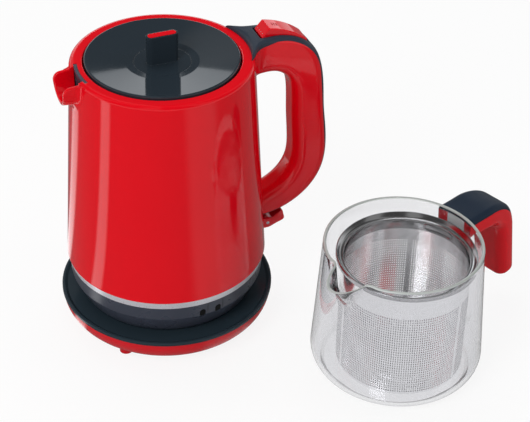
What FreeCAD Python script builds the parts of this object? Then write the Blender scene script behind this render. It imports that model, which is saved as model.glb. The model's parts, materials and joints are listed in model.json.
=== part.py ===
"""Tea set: a cordless kettle on its base station, with a glass teapot and its infuser standing beside it.

Millimetres, +Z up, the floor at z = 0. The kettle's handle points along +X and its spout along -X.
The origin is the middle of the set's footprint on the floor.
"""
import FreeCAD, Part
import math
import os
import re

import Sketcher

V = FreeCAD.Vector
Z_AXIS = V(0, 0, 1)

SIZES = {
    # where the teapot stands, from the kettle's axis
    "pot_distance": (188.4, "kettle axis to teapot axis"),
    "pot_bearing": (-41.6, "direction of the teapot from the kettle's handle, degrees"),
    "pot_turn": (21.0, "direction of the teapot's handle, degrees"),
    # fits shared by many pieces
    "slip": (0.2, "clearance between loosely fitted pieces"),
    "run": (0.3, "running gap between pieces that move apart"),
    "pin_fit": (0.05, "radial clearance of a pin in its hole"),
    # base station
    "foot_count": (3, "feet"),
    "foot_circle": (66.0, "radius of the circle of feet"),
    "foot_turn": (-138.2, "direction of the first foot, degrees"),
    "foot_radius": (5.0, "moulded foot"),
    "pad_radius": (3.6, "rubber pad in the foot"),
    "pad_proud": (0.8, "rubber pad below the foot"),
    "pad_depth": (1.4, "rubber pad set into the foot"),
    "foot_root": (1.0, "how far a foot runs up into the shell"),
    "shell_bottom": (4.0, "underside of the base shell"),
    "shell_top": (24.5, "top edge of the base shell"),
    "shell_radius": (82.0, "base shell at its top edge"),
    "bowl_foot_radius": (66.5, "flat underside of the base shell"),
    "shell_wall": (2.4, "base shell wall"),
    "plate_overhang": (0.5, "base plate beyond the shell's top edge"),
    "plate_lip": (27.0, "top of the base plate's lip"),
    "plate_floor": (25.4, "top face of the base plate"),
    "plate_wall": (2.2, "base plate thickness"),
    "spigot_gap": (0.8, "shell wall to the base plate's spigot"),
    "spigot_wall": (2.2, "spigot under the base plate"),
    "spigot_depth": (4.0, "spigot below the shell's top edge"),
    "connector_radius": (16.0, "round power connector"),
    "connector_flange": (4.0, "flange around the connector"),
    "flange_depth": (2.7, "thickness of that flange"),
    "connector_top": (37.0, "top of the round power connector"),
    "contact_floor": (27.0, "bottom of the connector's ring slots"),
    "inner_slot": (6.0, "inner radius of the inner ring slot"),
    "outer_slot": (11.0, "inner radius of the outer ring slot"),
    "slot_width": (2.4, "width of a ring slot"),
    "contact_wall": (0.8, "thickness of a contact ring"),
    "pin_radius": (1.8, "earth pin"),
    "pin_top": (39.0, "top of the earth pin"),
    "gland_bore": (3.2, "cord hole in the gland"),
    "gland_radius": (5.0, "gland tube, outside"),
    "gland_height": (14.0, "gland axis above the floor"),
    "gland_length": (20.0, "gland tube"),
    "gland_flange": (2.0, "gland flange thickness"),
    "gland_rim": (2.2, "gland flange beyond the tube"),
    "boss_depth": (18.5, "face of the cord boss, from the shell's top edge inwards"),
    "boss_wall": (4.0, "cord boss around the gland"),
    "screw_count": (3, "screws in the base station, and in the bottom cover"),
    "base_screw_circle": (48.0, "circle of the base station's screws"),
    "base_screw_turn": (60.0, "direction of the first base screw, degrees"),
    "screw_radius": (1.5, "shank of the base screws"),
    "screw_head": (2.9, "head radius of the base screws"),
    "head_height": (2.0, "head height of the base screws"),
    "head_sunk": (6.0, "seat of those heads above the shell's underside"),
    "post_wall": (2.3, "screw post around a screw head"),
    # coupler in the kettle's underside
    "socket_radius": (19.0, "coupler, outside"),
    "socket_flange": (24.0, "coupler flange"),
    "socket_bottom": (26.2, "lower edge of the coupler"),
    "flange_wall": (2.5, "coupler flange thickness"),
    "collar_top": (40.7, "top of the collar that carries the coupler"),
    # kettle, lower ring
    "ring_foot_radius": (64.0, "lower edge of the kettle's base ring"),
    "ring_knee_radius": (74.0, "base ring where its taper starts"),
    "ring_knee": (43.5, "height of the taper's upper end"),
    "ring_top_radius": (74.9, "base ring at its top"),
    "ring_top": (54.5, "top of the base ring"),
    "ring_wall": (2.5, "base ring wall"),
    "ledge_radius": (54.5, "inner edge of the ring's ledge"),
    "ledge_bottom": (28.6, "underside of the ring's ledge"),
    "cover_screw_circle": (58.2, "circle of the bottom cover's screws"),
    "cover_screw_turn": (20.0, "direction of the first of them, degrees"),
    "cover_screw_radius": (1.3, "shank of the cover screws"),
    "cover_screw_head": (2.5, "head radius of the cover screws"),
    "cover_screw_length": (8.0, "shank length of the cover screws"),
    "cover_head_height": (1.3, "head height of the cover screws"),
    "window_height": (46.0, "middle of the indicator windows"),
    "window_width": (4.6, "indicator window"),
    "window_tall": (6.2, "indicator window"),
    "window_first": (2.6, "first window, along X from the kettle's axis"),
    "window_second": (15.4, "second window, along X from the kettle's axis"),
    "lens_wall": (1.6, "indicator lens thickness"),
    # kettle body
    "belly_bottom": (60.7, "lower edge of the red body"),
    "belly_radius": (76.6, "red body at its lower edge"),
    "neck_radius": (67.1, "red body at its rim"),
    "rim_top": (226.4, "top of the rim"),
    "rim_round": (3.6, "rounding of the rim's outer edge"),
    "mouth_radius": (57.5, "mouth of the kettle"),
    "body_wall": (2.2, "red body wall"),
    "neck_bottom": (190.0, "lower end of the neck inside the rim"),
    "lid_seat": (213.0, "top of the ledge that carries the lid"),
    "seat_width": (4.0, "ledge that carries the lid"),
    "liner_gap": (4.6, "outside of the red body to the steel liner"),
    "liner_wall": (1.0, "steel liner wall"),
    "liner_floor": (66.0, "underside of the liner's floor"),
    "seal_height": (2.0, "seal under the liner"),
    "heater_radius": (64.0, "aluminium heating plate"),
    "heater_wall": (3.5, "aluminium heating plate thickness"),
    "coil_radius": (46.0, "heating element, radius of its turn"),
    "tube_radius": (3.4, "heating element tube"),
    "coil_gap": (60.0, "gap in the heating element's turn, degrees"),
    "terminal_length": (9.0, "terminals of the heating element"),
    # spout
    "spout_slope": (8.0, "slope of the spout, degrees"),
    "spout_outer": (13.7, "spout trough, outside radius"),
    "spout_inner": (11.0, "spout trough, inside radius"),
    "spout_reach": (78.4, "end of the spout, from the axis"),
    "spout_tip_height": (205.4, "lowest point of the spout's end"),
    "spout_brow": (223.8, "top edge of the spout where it turns down"),
    "spout_corner": (6.0, "that turn"),
    "spout_blend": (5.0, "fillet between the spout and the body"),
    "spout_lip": (1.1, "rounding of the spout's edges"),
    "filter_wall": (2.4, "filter frame thickness"),
    "filter_radius": (61.5, "inside of the filter frame"),
    "filter_angle": (12.9, "half angle of the filter frame, degrees"),
    "filter_foot": (202.0, "lower edge of the filter frame"),
    "filter_rail": (2.4, "width of the filter frame's rails"),
    "filter_bars": (6, "upright bars in the filter"),
    # handle
    "arm_top": (232.5, "top of the handle"),
    "arm_under": (202.0, "underside of the upper arm"),
    "grip_width": (26.0, "handle width"),
    "saddle_span": (26.2, "half angle of the saddle at its inner end, degrees"),
    "saddle_rise": (2.6, "top of the saddle above the rim"),
    "saddle_inset": (2.7, "saddle's inner edge, inside the body's shoulder"),
    "saddle_round": (6.0, "rounding of that edge"),
    "top_turn_x": (84.2, "centre of the upper outer corner, from the axis"),
    "top_turn_radius": (40.2, "upper outer corner"),
    "crook_x": (80.0, "centre of the upper inner corner, from the axis"),
    "crook_radius": (19.5, "upper inner corner"),
    "heel_x": (78.2, "centre of the lower outer corner, from the axis"),
    "heel_z": (125.7, "height of that centre"),
    "heel_radius": (52.1, "lower outer corner"),
    "hollow_x": (70.2, "centre of the lower inner corner, from the axis"),
    "hollow_z": (126.3, "height of that centre"),
    "hollow_radius": (32.1, "lower inner corner"),
    "root_x": (60.0, "inner end of the lower arm before the body cuts it"),
    "saddle_start": (57.0, "inner end of the upper arm before the body cuts it"),
    "lower_root_under": (73.2, "underside of the lower arm at the body"),
    "lower_root_top": (84.0, "top of the lower arm at the body"),
    "lower_screw_z": (78.8, "height of the lower handle screw"),
    "upper_screw_z": (208.0, "height of the upper handle screw"),
    "handle_screw_length": (13.0, "shank of the handle screws"),
    "handle_screw_head": (1.6, "head height of the handle screws"),
    "handle_round": (8.8, "rounded corners of the handle's section"),
    "saddle_edge_round": (2.5, "rounded edges of the saddle"),
    "spine_wall": (3.0, "dark spine on the outside of the handle"),
    # switches on the kettle
    "rocker_pivot_x": (94.0, "rocker pin, from the axis"),
    "rocker_sunk": (8.7, "rocker pin below the top of the handle"),
    "rocker_width": (15.6, "rocker"),
    "rocker_front": (74.3, "foot of the rocker's front face, from the axis"),
    "rocker_lean": (5.7, "how far that face leans back"),
    "rocker_nose": (6.4, "height of that face"),
    "rocker_rise": (6.2, "highest edge of the rocker above the handle"),
    "rocker_crown": (62.0, "curve of the rocker's top"),
    "rocker_soft": (0.8, "softened edges of the rocker"),
    "rocker_back": (110.0, "rear end of the rocker, from the axis"),
    "rocker_tail": (3.2, "thickness of the rocker at its rear end"),
    "rocker_hub": (3.4, "rocker hub"),
    "rocker_tilt": (9.0, "travel of the rocker, degrees"),
    "rocker_pin": (1.2, "rocker pin radius"),
    "pocket_depth": (14.0, "rocker's pocket below the top of the handle"),
    "pocket_play": (0.5, "gap beside the rocker"),
    "lever_pivot_x": (80.6, "lever pin, from the axis"),
    "lever_pivot_z": (66.4, "height of the lever pin"),
    "lever_width": (18.0, "lever"),
    "lever_hub": (3.2, "lever hub"),
    "lever_pin": (1.3, "lever pin radius"),
    "lever_reach": (95.8, "outer end of the lever, from the axis"),
    "lever_soft": (0.7, "softened edges of the lever"),
    "lug_wall": (2.6, "lug that carries the lever pin"),
    # lid
    "lid_radius": (56.5, "lid"),
    "lid_top": (228.2, "top of the lid's rolled edge"),
    "lid_wall": (2.2, "lid thickness"),
    "lid_dip": (224.0, "middle of the lid's dish"),
    "cap_radius": (20.8, "round plate under the grip"),
    "cap_wall": (2.0, "round plate thickness"),
    "plug_radius": (53.2, "plug under the lid"),
    "plug_bottom": (206.0, "underside of the plug"),
    "plug_flange": (217.4, "underside of the plug's flange"),
    "seal_radius": (57.0, "lid seal, outside"),
    "blade_length": (24.0, "grip blade"),
    "blade_width": (8.0, "grip blade"),
    "blade_top": (246.0, "top of the grip blade"),
    "blade_turn": (9.0, "direction of the grip blade, degrees"),
    "inlay_margin": (1.3, "grip blade around its inlay"),
    "inlay_depth": (2.0, "inlay in the grip blade"),
    "grip_screw": (1.75, "shank radius of the grip screw"),
    # teapot
    "pot_height": (110.5, "rim of the glass"),
    "pot_rim_radius": (59.3, "glass at its rim, outside"),
    "pot_wide_radius": (65.2, "glass at its widest, outside"),
    "pot_wide_height": (16.4, "height of the widest place"),
    "pot_foot_radius": (54.0, "flat foot of the glass"),
    "glass_wall": (2.4, "glass wall"),
    "glass_floor": (3.5, "inside floor of the glass"),
    "lip_reach": (76.8, "tip of the pouring lip, from the teapot's axis"),
    "lip_depth": (26.0, "height of the pouring lip"),
    "lip_radius": (14.5, "pouring lip at the rim"),
    "lip_droop": (5.0, "tip of the lip below the rim"),
    "glass_edge": (1.0, "rounded edge of the glass"),
    "bracket_height": (20.0, "handle bracket on the glass"),
    "bracket_wall": (4.0, "handle bracket thickness"),
    "bracket_width": (33.0, "handle bracket"),
    "bond_gap": (0.3, "bracket to glass"),
    "pad_width": (17.0, "clear pad between bracket and glass"),
    "pot_turn_x": (81.0, "centre of the handle's outer corner, from the teapot's axis"),
    "pot_handle_lean": (12.5, "how far the grip leans out, degrees"),
    "pot_handle_end": (27.0, "lower end of the teapot handle"),
    "pot_handle_width": (29.0, "teapot handle past its corner"),
    "pot_grip_width": (23.5, "teapot handle at its lower end"),
    "pot_handle_depth": (18.0, "thickness of the teapot handle"),
    "pot_handle_turn": (36.0, "outer corner of the teapot handle"),
    "pot_grip_round": (5.0, "rounding of the grip's lower end"),
    "cover_wall": (4.0, "soft cover on top of the teapot handle"),
    "cover_edge": (2.4, "soft cover down the grip"),
    "cover_drop": (0.9, "soft cover below the glass rim"),
    # infuser
    "infuser_shift": (4.4, "infuser axis from the teapot's axis, towards the handle"),
    "infuser_foot": (3.9, "underside of the infuser"),
    "infuser_radius": (48.5, "perforated wall, outside"),
    "infuser_wall": (0.8, "steel sheet"),
    "infuser_rim_radius": (52.7, "infuser's rolled rim, outside"),
    "infuser_drop": (11.5, "infuser's rim below the glass rim"),
    "rim_roll": (1.5, "rolled rim"),
    "rim_step": (5.0, "step below the rim"),
    "band_height": (14.0, "plain band below the step"),
}

doc = FreeCAD.newDocument("tea_set")
sheet = doc.addObject("Spreadsheet::Sheet", "dims")
PLACES = {"kettle_x": "-83", "kettle_y": "53"}


def fill_sheet():
    """Write every size into the sheet, with its name as the alias of its cell."""
    for row, (name, (number, what)) in enumerate(SIZES.items(), start=1):
        sheet.set(f"A{row}", what)
        sheet.set(f"B{row}", str(number))
        sheet.setAlias(f"B{row}", name)
    for row, (name, number) in enumerate(PLACES.items(), start=len(SIZES) + 1):
        sheet.set(f"B{row}", number)
        sheet.setAlias(f"B{row}", name)
    doc.recompute()


def expression(text):
    """Put the sheet's name in front of each size in an expression."""
    def name(found):
        word = found.group()
        return "dims." + word if word in SIZES or word in PLACES else word
    return re.sub(r"[a-z_]+", name, str(text))


def mm(text):
    """The present value of an expression."""
    return float(sheet.evalExpression(expression(text)))


def bind(target, path, text):
    """Tie a property to an expression."""
    target.setExpression(path, expression(text))


# Places: each node stands in the kettle's frame, the teapot's or the infuser's.
KETTLE = ("kettle_x", "kettle_y", "0")
POT = (
    "kettle_x + pot_distance * cos(pot_bearing)",
    "kettle_y + pot_distance * sin(pot_bearing)",
    "pot_turn",
)
INFUSER = (
    POT[0] + " + infuser_shift * cos(pot_turn)",
    POT[1] + " + infuser_shift * sin(pot_turn)",
    "pot_turn",
)
nodes = []


def node(item, label, place):
    """Name a finished sub-part and put it in its place."""
    item.Label = label
    item.Placement = FreeCAD.Placement(V(), FreeCAD.Rotation(Z_AXIS, 0))
    bind(item, "Placement.Base.x", place[0])
    bind(item, "Placement.Base.y", place[1])
    if place[2] != "0":
        item.Placement = FreeCAD.Placement(V(), FreeCAD.Rotation(Z_AXIS, mm(place[2])))
        bind(item, "Placement.Rotation.Angle", place[2])
    nodes.append(item)
    return item


# Sketches and features of the turned and moulded pieces

def new_body(name):
    return doc.addObject("PartDesign::Body", name + "_body")


def new_sketch(body, name, role="XY_Plane", level="0"):
    """A sketch on one of the body's own planes, raised to a level."""
    sketch = body.newObject("Sketcher::SketchObject", name)
    plane = [item for item in body.Origin.OriginFeatures if item.Role == role][0]
    sketch.AttachmentSupport = (plane, [""])
    sketch.MapMode = "FlatFace"
    sketch.AttachmentOffset = FreeCAD.Placement(V(0, 0, mm(level)), FreeCAD.Rotation())
    bind(sketch, "AttachmentOffset.Base.z", level)
    return sketch


def hold(sketch, kind, *where, text):
    """Add a constraint whose value is an expression."""
    number = mm(text)
    if abs(number) < 1e-9 and kind in ("DistanceX", "DistanceY"):
        axis = -2 if kind == "DistanceX" else -1
        sketch.addConstraint(Sketcher.Constraint("PointOnObject", *where, axis))
        return
    where = (-1, 1) + where if kind in ("DistanceX", "DistanceY") else where
    index = sketch.addConstraint(Sketcher.Constraint(kind, *where, number))
    name = f"held_{index}"
    sketch.renameConstraint(index, name)
    bind(sketch, "Constraints." + name, text)


def arc_through(start, end, radius, side):
    """The short arc from start to end, with its centre on the left or right of the way."""
    chord = end - start
    middle = (start + end) * 0.5
    left = V(-chord.y, chord.x, 0).normalize()
    towards = left if side == "left" else left * -1
    rise = math.sqrt(max(radius ** 2 - (chord.Length / 2) ** 2, 0))
    centre = middle + towards * rise
    return Part.Arc(start, centre - towards * radius, end)


def draw(sketch, points):
    """A closed outline. Each point is (x, y), or (x, y, side, radius) where an arc leads on to the next."""
    places = [V(mm(point[0]), mm(point[1]), 0) for point in points]
    ends = []
    for index, point in enumerate(points):
        start, end = places[index], places[(index + 1) % len(places)]
        if len(point) == 2:
            line = sketch.addGeometry(Part.LineSegment(start, end))
            ends.append((line, 1, 2))
            continue
        arc = sketch.addGeometry(arc_through(start, end, mm(point[3]), point[2]))
        ends.append((arc, 1, 2) if point[2] == "left" else (arc, 2, 1))
    for index, point in enumerate(points):
        edge, first, last = ends[index]
        following = ends[(index + 1) % len(ends)]
        sketch.addConstraint(Sketcher.Constraint("Coincident", edge, last, following[0], following[1]))
        hold(sketch, "DistanceX", edge, first, text=point[0])
        hold(sketch, "DistanceY", edge, first, text=point[1])
        if len(point) > 2:
            hold(sketch, "Radius", edge, text=point[3])


def draw_circles(sketch, circles):
    """Circles given as (x, y, radius)."""
    for x, y, radius in circles:
        place = V(mm(x), mm(y), 0)
        circle = sketch.addGeometry(Part.Circle(place, Z_AXIS, mm(radius)))
        hold(sketch, "DistanceX", circle, 3, text=x)
        hold(sketch, "DistanceY", circle, 3, text=y)
        hold(sketch, "Radius", circle, text=radius)


def ring_of(count, circle, first, radius):
    """The circles of a ring of like features."""
    turns = [f"({first} + {360 / count * step})" for step in range(count)]
    return [(f"{circle} * cos{turn}", f"{circle} * sin{turn}", radius) for turn in turns]


def turned_body(name, points):
    """A body turned about the upright axis from its half section."""
    body = new_body(name)
    sketch = new_sketch(body, name + "_section", "XZ_Plane")
    draw(sketch, points)
    turn = body.newObject("PartDesign::Revolution", name + "_turn")
    turn.Profile = sketch
    turn.ReferenceAxis = (sketch, ["V_Axis"])
    turn.Angle = 360
    doc.recompute()
    return body


def raise_from(body, name, circles, level, height):
    """Posts standing on a level."""
    before = body.Shape.Volume
    sketch = new_sketch(body, name, level=level)
    draw_circles(sketch, circles)
    pad = body.newObject("PartDesign::Pad", name + "_pad")
    pad.Profile = sketch
    bind(pad, "Length", height)
    doc.recompute()
    if not body.Shape.Volume > before:
        raise ValueError(name + " added nothing")


def sink_from(body, name, circles, level, depth):
    """Round holes that start at a level and go up."""
    before = body.Shape.Volume
    sketch = new_sketch(body, name, level=level)
    draw_circles(sketch, circles)
    pocket = body.newObject("PartDesign::Pocket", name + "_pocket")
    pocket.Profile = sketch
    bind(pocket, "Length", depth)
    pocket.Reversed = True
    doc.recompute()
    if not body.Shape.Volume < before:
        raise ValueError(name + " cut nothing")


# Shapes made with Part's own functions, for pieces that neither a body nor primitives suit

def shaped(label, shape, place):
    """A node whose shape is set here."""
    item = doc.addObject("Part::Feature", label + "_shape")
    item.Shape = shape
    return node(item, label, place)


def flat_wire(points):
    """A closed wire. Points are (x, z), or (x, z, side, radius) where an arc leads on to the next."""
    edges = []
    places = [V(point[0], point[1], 0) for point in points]
    for index, point in enumerate(points):
        start, end = places[index], places[(index + 1) % len(places)]
        if len(point) == 2:
            edges.append(Part.LineSegment(start, end).toShape())
        else:
            edges.append(arc_through(start, end, point[3], point[2]).toShape())
    wire = Part.Wire(edges)
    wire.rotate(V(), V(1, 0, 0), 90)
    return wire


def slab(points, low, high):
    """A plate cut to a side outline in x and z, between two places along y."""
    face = Part.Face(flat_wire(points))
    face.translate(V(0, low, 0))
    return face.extrude(V(0, high - low, 0))


def cylinder(radius, low, high, x=0.0, y=0.0):
    return Part.makeCylinder(radius, high - low, V(x, y, low), Z_AXIS)


def across(radius, half_length, x, z):
    """A cylinder along y, centred on the middle plane."""
    return Part.makeCylinder(radius, 2 * half_length, V(x, -half_length, z), V(0, 1, 0))


def block(x_low, x_high, y_low, y_high, z_low, z_high):
    size = (x_high - x_low, y_high - y_low, z_high - z_low)
    return Part.makeBox(*size, V(x_low, y_low, z_low))


def ring_sector(inner, outer, low, high, middle_turn, half_turn):
    """Part of an upright tube, between two angles."""
    start = FreeCAD.Placement(V(0, 0, low), FreeCAD.Rotation(Z_AXIS, middle_turn - half_turn))
    sides = []
    for radius in (outer, inner):
        sector = Part.makeCylinder(radius, high - low, V(), Z_AXIS, 2 * half_turn)
        sector.Placement = start
        sides.append(sector)
    return sides[0].cut(sides[1])


def screw(shank, head, head_height, low, high, x, y):
    """A screw whose head is at its lower end."""
    body = cylinder(shank, low + head_height, high, x, y)
    return body.fuse(cylinder(head, low, low + head_height, x, y)).removeSplitter()


def on_ring(circle, turn):
    return circle * math.cos(math.radians(turn)), circle * math.sin(math.radians(turn))


# Base station

BOWL_REACH = "(shell_radius - bowl_foot_radius)"
BOWL_RISE = "(shell_top - shell_bottom)"
BOWL_ROUND = f"({BOWL_REACH}^2 + {BOWL_RISE}^2) / (2 * {BOWL_REACH})"
PLATE_UNDER = "(plate_floor - plate_wall)"
BASE_POST = "(screw_head + post_wall)"
CONNECTOR_FLANGE = "(connector_radius + connector_flange)"
FLANGE_BOTTOM = f"({PLATE_UNDER} - flange_depth)"
BASE_SCREWS = ("base_screw_circle", "base_screw_turn")
HEAD_SEAT = "(shell_bottom + head_sunk)"
BOSS_FACE = "(shell_radius - boss_depth)"
PLATE_RADIUS = "(shell_radius + plate_overhang)"
SPIGOT_RADIUS = "(shell_radius - shell_wall - spigot_gap)"


def base_shell():
    """Bowl-shaped moulding with feet, screw posts, a ring that carries the connector and the cord's exit."""
    floor = "shell_bottom + shell_wall"
    body = turned_body("base_shell", [
        ("0", "shell_bottom"),
        ("bowl_foot_radius", "shell_bottom", "left", BOWL_ROUND),
        ("shell_radius", "shell_top"),
        ("shell_radius - shell_wall", "shell_top", "right", BOWL_ROUND + " - shell_wall"),
        ("bowl_foot_radius - 0.5", floor),
        ("connector_radius + 1", floor),
        ("connector_radius + 1", FLANGE_BOTTOM),
        ("connector_radius - 2", FLANGE_BOTTOM),
        ("connector_radius - 2", floor),
        ("0", floor),
    ])
    feet, screws = int(mm("foot_count")), int(mm("screw_count"))
    raise_from(body, "feet", ring_of(feet, "foot_circle", "foot_turn", "foot_radius"),
               "pad_proud", "shell_bottom - pad_proud + foot_root")
    sink_from(body, "foot_recess", ring_of(feet, "foot_circle", "foot_turn", "pad_radius + pin_fit"),
              "pad_proud", "pad_depth")
    raise_from(body, "screw_posts", ring_of(screws, *BASE_SCREWS, BASE_POST),
               "shell_bottom + 1", PLATE_UNDER + " - shell_bottom - 3")
    sink_from(body, "head_holes", ring_of(screws, *BASE_SCREWS, "screw_head + slip"),
              "shell_bottom", HEAD_SEAT + " - shell_bottom")
    sink_from(body, "screw_holes", ring_of(screws, *BASE_SCREWS, "screw_radius + slip"),
              "shell_bottom", PLATE_UNDER + " - shell_bottom")
    reach, height = mm("gland_radius + boss_wall"), mm("gland_height")
    bowl = Part.Face(flat_wire([
        (0, mm("shell_bottom")), (mm("bowl_foot_radius"), mm("shell_bottom"), "left", mm(BOWL_ROUND)),
        (mm("shell_radius"), mm("shell_top")), (0, mm("shell_top"))])).revolve(V(), Z_AXIS, 360)
    boss = block(-reach, reach, mm(BOSS_FACE), mm("shell_radius"), mm("shell_bottom + 1"), mm(PLATE_UNDER) - 1)
    boss = boss.common(bowl).cut(spigot_room())
    hole = Part.makeCylinder(mm("gland_radius + slip"), 40, V(0, mm(BOSS_FACE) - 5, height), V(0, 1, 0))
    shaped("base_shell", body.Shape.fuse(boss).cut(hole).removeSplitter(), KETTLE)


def spigot_room():
    """Room for the base plate's spigot inside the shell's top edge."""
    low, high = mm("shell_top - spigot_depth - run"), mm("shell_top + plate_wall")
    inner = mm(SPIGOT_RADIUS + " - spigot_wall - slip")
    return cylinder(mm("shell_radius - shell_wall"), low, high).cut(cylinder(inner, low, high))


def cord_gland():
    """Bush for the mains cord, with its flange against the boss inside the shell."""
    flange = mm("gland_flange")
    start = V(0, mm(BOSS_FACE) - flange, mm("gland_height"))
    along = V(0, 1, 0)
    tube = Part.makeCylinder(mm("gland_radius"), mm("gland_length"), start, along)
    rim = Part.makeCylinder(mm("gland_radius + gland_rim"), flange, start, along)
    bore = Part.makeCylinder(mm("gland_bore"), mm("gland_length"), start, along)
    shaped("cord_gland", tube.fuse(rim).cut(bore).removeSplitter(), KETTLE)


def base_foot_pads():
    pads = []
    count = int(mm("foot_count"))
    for step in range(count):
        x, y = on_ring(mm("foot_circle"), mm("foot_turn") + 360 / count * step)
        pads.append(cylinder(mm("pad_radius"), 0, mm("pad_proud + pad_depth"), x, y))
    shaped("base_foot_pads", Part.makeCompound(pads), KETTLE)


def base_plate():
    """Saucer on top of the shell, with a raised lip and a spigot inside the shell."""
    body = turned_body("base_plate", [
        ("connector_radius + run", PLATE_UNDER),
        (SPIGOT_RADIUS + " - spigot_wall", PLATE_UNDER),
        (SPIGOT_RADIUS + " - spigot_wall", "shell_top - spigot_depth"),
        (SPIGOT_RADIUS, "shell_top - spigot_depth"),
        (SPIGOT_RADIUS, "shell_top"),
        (PLATE_RADIUS, "shell_top"),
        (PLATE_RADIUS, "plate_lip - 0.9", "left", "0.9"),
        (PLATE_RADIUS + " - 0.9", "plate_lip"),
        (PLATE_RADIUS + " - 2.1", "plate_lip"),
        (PLATE_RADIUS + " - 4.2", "plate_floor"),
        ("connector_radius + run", "plate_floor"),
    ])
    screws = int(mm("screw_count"))
    raise_from(body, "plate_posts", ring_of(screws, *BASE_SCREWS, BASE_POST),
               PLATE_UNDER + " - 2", "2.2")
    sink_from(body, "plate_pilots", ring_of(screws, *BASE_SCREWS, "screw_radius + pin_fit"),
              PLATE_UNDER + " - 2", "3.4")
    node(body, "base_plate", KETTLE)


def base_connector():
    """Round connector that the kettle can be set on in any direction."""
    inner, outer, width = "inner_slot", "outer_slot", "slot_width"
    body = turned_body("base_connector", [
        ("0", FLANGE_BOTTOM),
        (CONNECTOR_FLANGE, FLANGE_BOTTOM),
        (CONNECTOR_FLANGE, PLATE_UNDER),
        ("connector_radius", PLATE_UNDER),
        ("connector_radius", "connector_top - 0.8"),
        ("connector_radius - 0.8", "connector_top"),
        (f"{outer} + {width}", "connector_top"),
        (f"{outer} + {width}", "contact_floor"),
        (outer, "contact_floor"),
        (outer, "connector_top"),
        (f"{inner} + {width}", "connector_top"),
        (f"{inner} + {width}", "contact_floor"),
        (inner, "contact_floor"),
        (inner, "connector_top"),
        ("pin_radius + pin_fit", "connector_top"),
        ("pin_radius + pin_fit", "contact_floor - 3"),
        ("0", "contact_floor - 3"),
    ])
    node(body, "base_connector", KETTLE)


def contact_ring(inner, low, high):
    return cylinder(inner + mm("contact_wall"), low, high).cut(cylinder(inner, low, high))


def contacts():
    """Brass contacts: pin and rings in the connector, rings in the kettle's coupler."""
    floor, fit = mm("contact_floor"), mm("pin_fit")
    pin = cylinder(mm("pin_radius"), floor - 3, mm("pin_top"))
    pin = pin.makeChamfer(0.6, [pin.Edges[0]])
    rings = [contact_ring(mm(slot) + fit, floor, mm("connector_top - 2"))
             for slot in ("inner_slot", "outer_slot")]
    shaped("base_contacts", Part.makeCompound([pin] + rings), KETTLE)
    reach = mm("slot_width - contact_wall - run")
    blades = [contact_ring(mm(slot) + reach, floor + 2, mm("connector_top + run"))
              for slot in ("inner_slot", "outer_slot")]
    shaped("socket_contacts", Part.makeCompound(blades), KETTLE)


def base_screws():
    low, high = mm(HEAD_SEAT + " - head_height"), mm(PLATE_UNDER + " + 1")
    count = int(mm("screw_count"))
    screws = []
    for step in range(count):
        x, y = on_ring(mm("base_screw_circle"), mm("base_screw_turn") + 360 / count * step)
        screws.append(screw(mm("screw_radius"), mm("screw_head"), mm("head_height"), low, high, x, y))
    shaped("base_screws", Part.makeCompound(screws), KETTLE)



# Coupler and lower ring of the kettle

def kettle_socket():
    """Inverted cup that drops over the connector. The kettle turns around it."""
    body = turned_body("kettle_socket", [
        ("connector_radius + 2 * run", "socket_bottom"),
        ("socket_radius", "socket_bottom"),
        ("socket_radius", "collar_top + run"),
        ("socket_flange", "collar_top + run"),
        ("socket_flange", "collar_top + run + flange_wall"),
        ("0", "collar_top + run + flange_wall"),
        ("0", "pin_top + 1"),
        ("pin_radius + 2 * run", "pin_top + 1"),
        ("pin_radius + 2 * run", "connector_top + run"),
        ("connector_radius + 2 * run", "connector_top + run"),
    ])
    node(body, "kettle_socket", KETTLE)


COVER_SCREWS = ("cover_screw_circle", "cover_screw_turn")


def kettle_bottom_cover():
    """Disc that closes the kettle's underside, with the collar that carries the coupler."""
    body = turned_body("kettle_bottom_cover", [
        ("socket_radius + run", "socket_bottom"),
        ("ring_foot_radius - 2.2", "socket_bottom"),
        ("ring_foot_radius - 2.2", "ledge_bottom"),
        ("socket_radius + run + 2.7", "ledge_bottom"),
        ("socket_radius + run + 2.7", "collar_top"),
        ("socket_radius + run", "collar_top"),
    ])
    count = int(mm("screw_count"))
    sink_from(body, "cover_heads", ring_of(count, *COVER_SCREWS, "cover_screw_head + slip"),
              "socket_bottom", "cover_head_height + 0.1")
    sink_from(body, "cover_holes", ring_of(count, *COVER_SCREWS, "cover_screw_radius + slip"),
              "socket_bottom", "4")
    node(body, "kettle_bottom_cover", KETTLE)


def window_outline(x, margin):
    """Arched window: a rectangle with a round top."""
    half = mm("window_width") / 2 + margin
    low = mm("window_height - window_tall / 2") - margin
    spring = mm("window_height + window_tall / 2 - window_width / 2")
    return [(x - half, low), (x + half, low), (x + half, spring, "left", half), (x - half, spring)]


RING_SECTION = [
    ("ring_foot_radius - 2", "plate_floor + run"),
    ("ring_foot_radius", "plate_floor + run"),
    ("ring_foot_radius + 2.8", "plate_floor + 3.3"),
    ("ring_knee_radius", "ring_knee"),
    ("ring_top_radius", "ring_top"),
]


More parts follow.
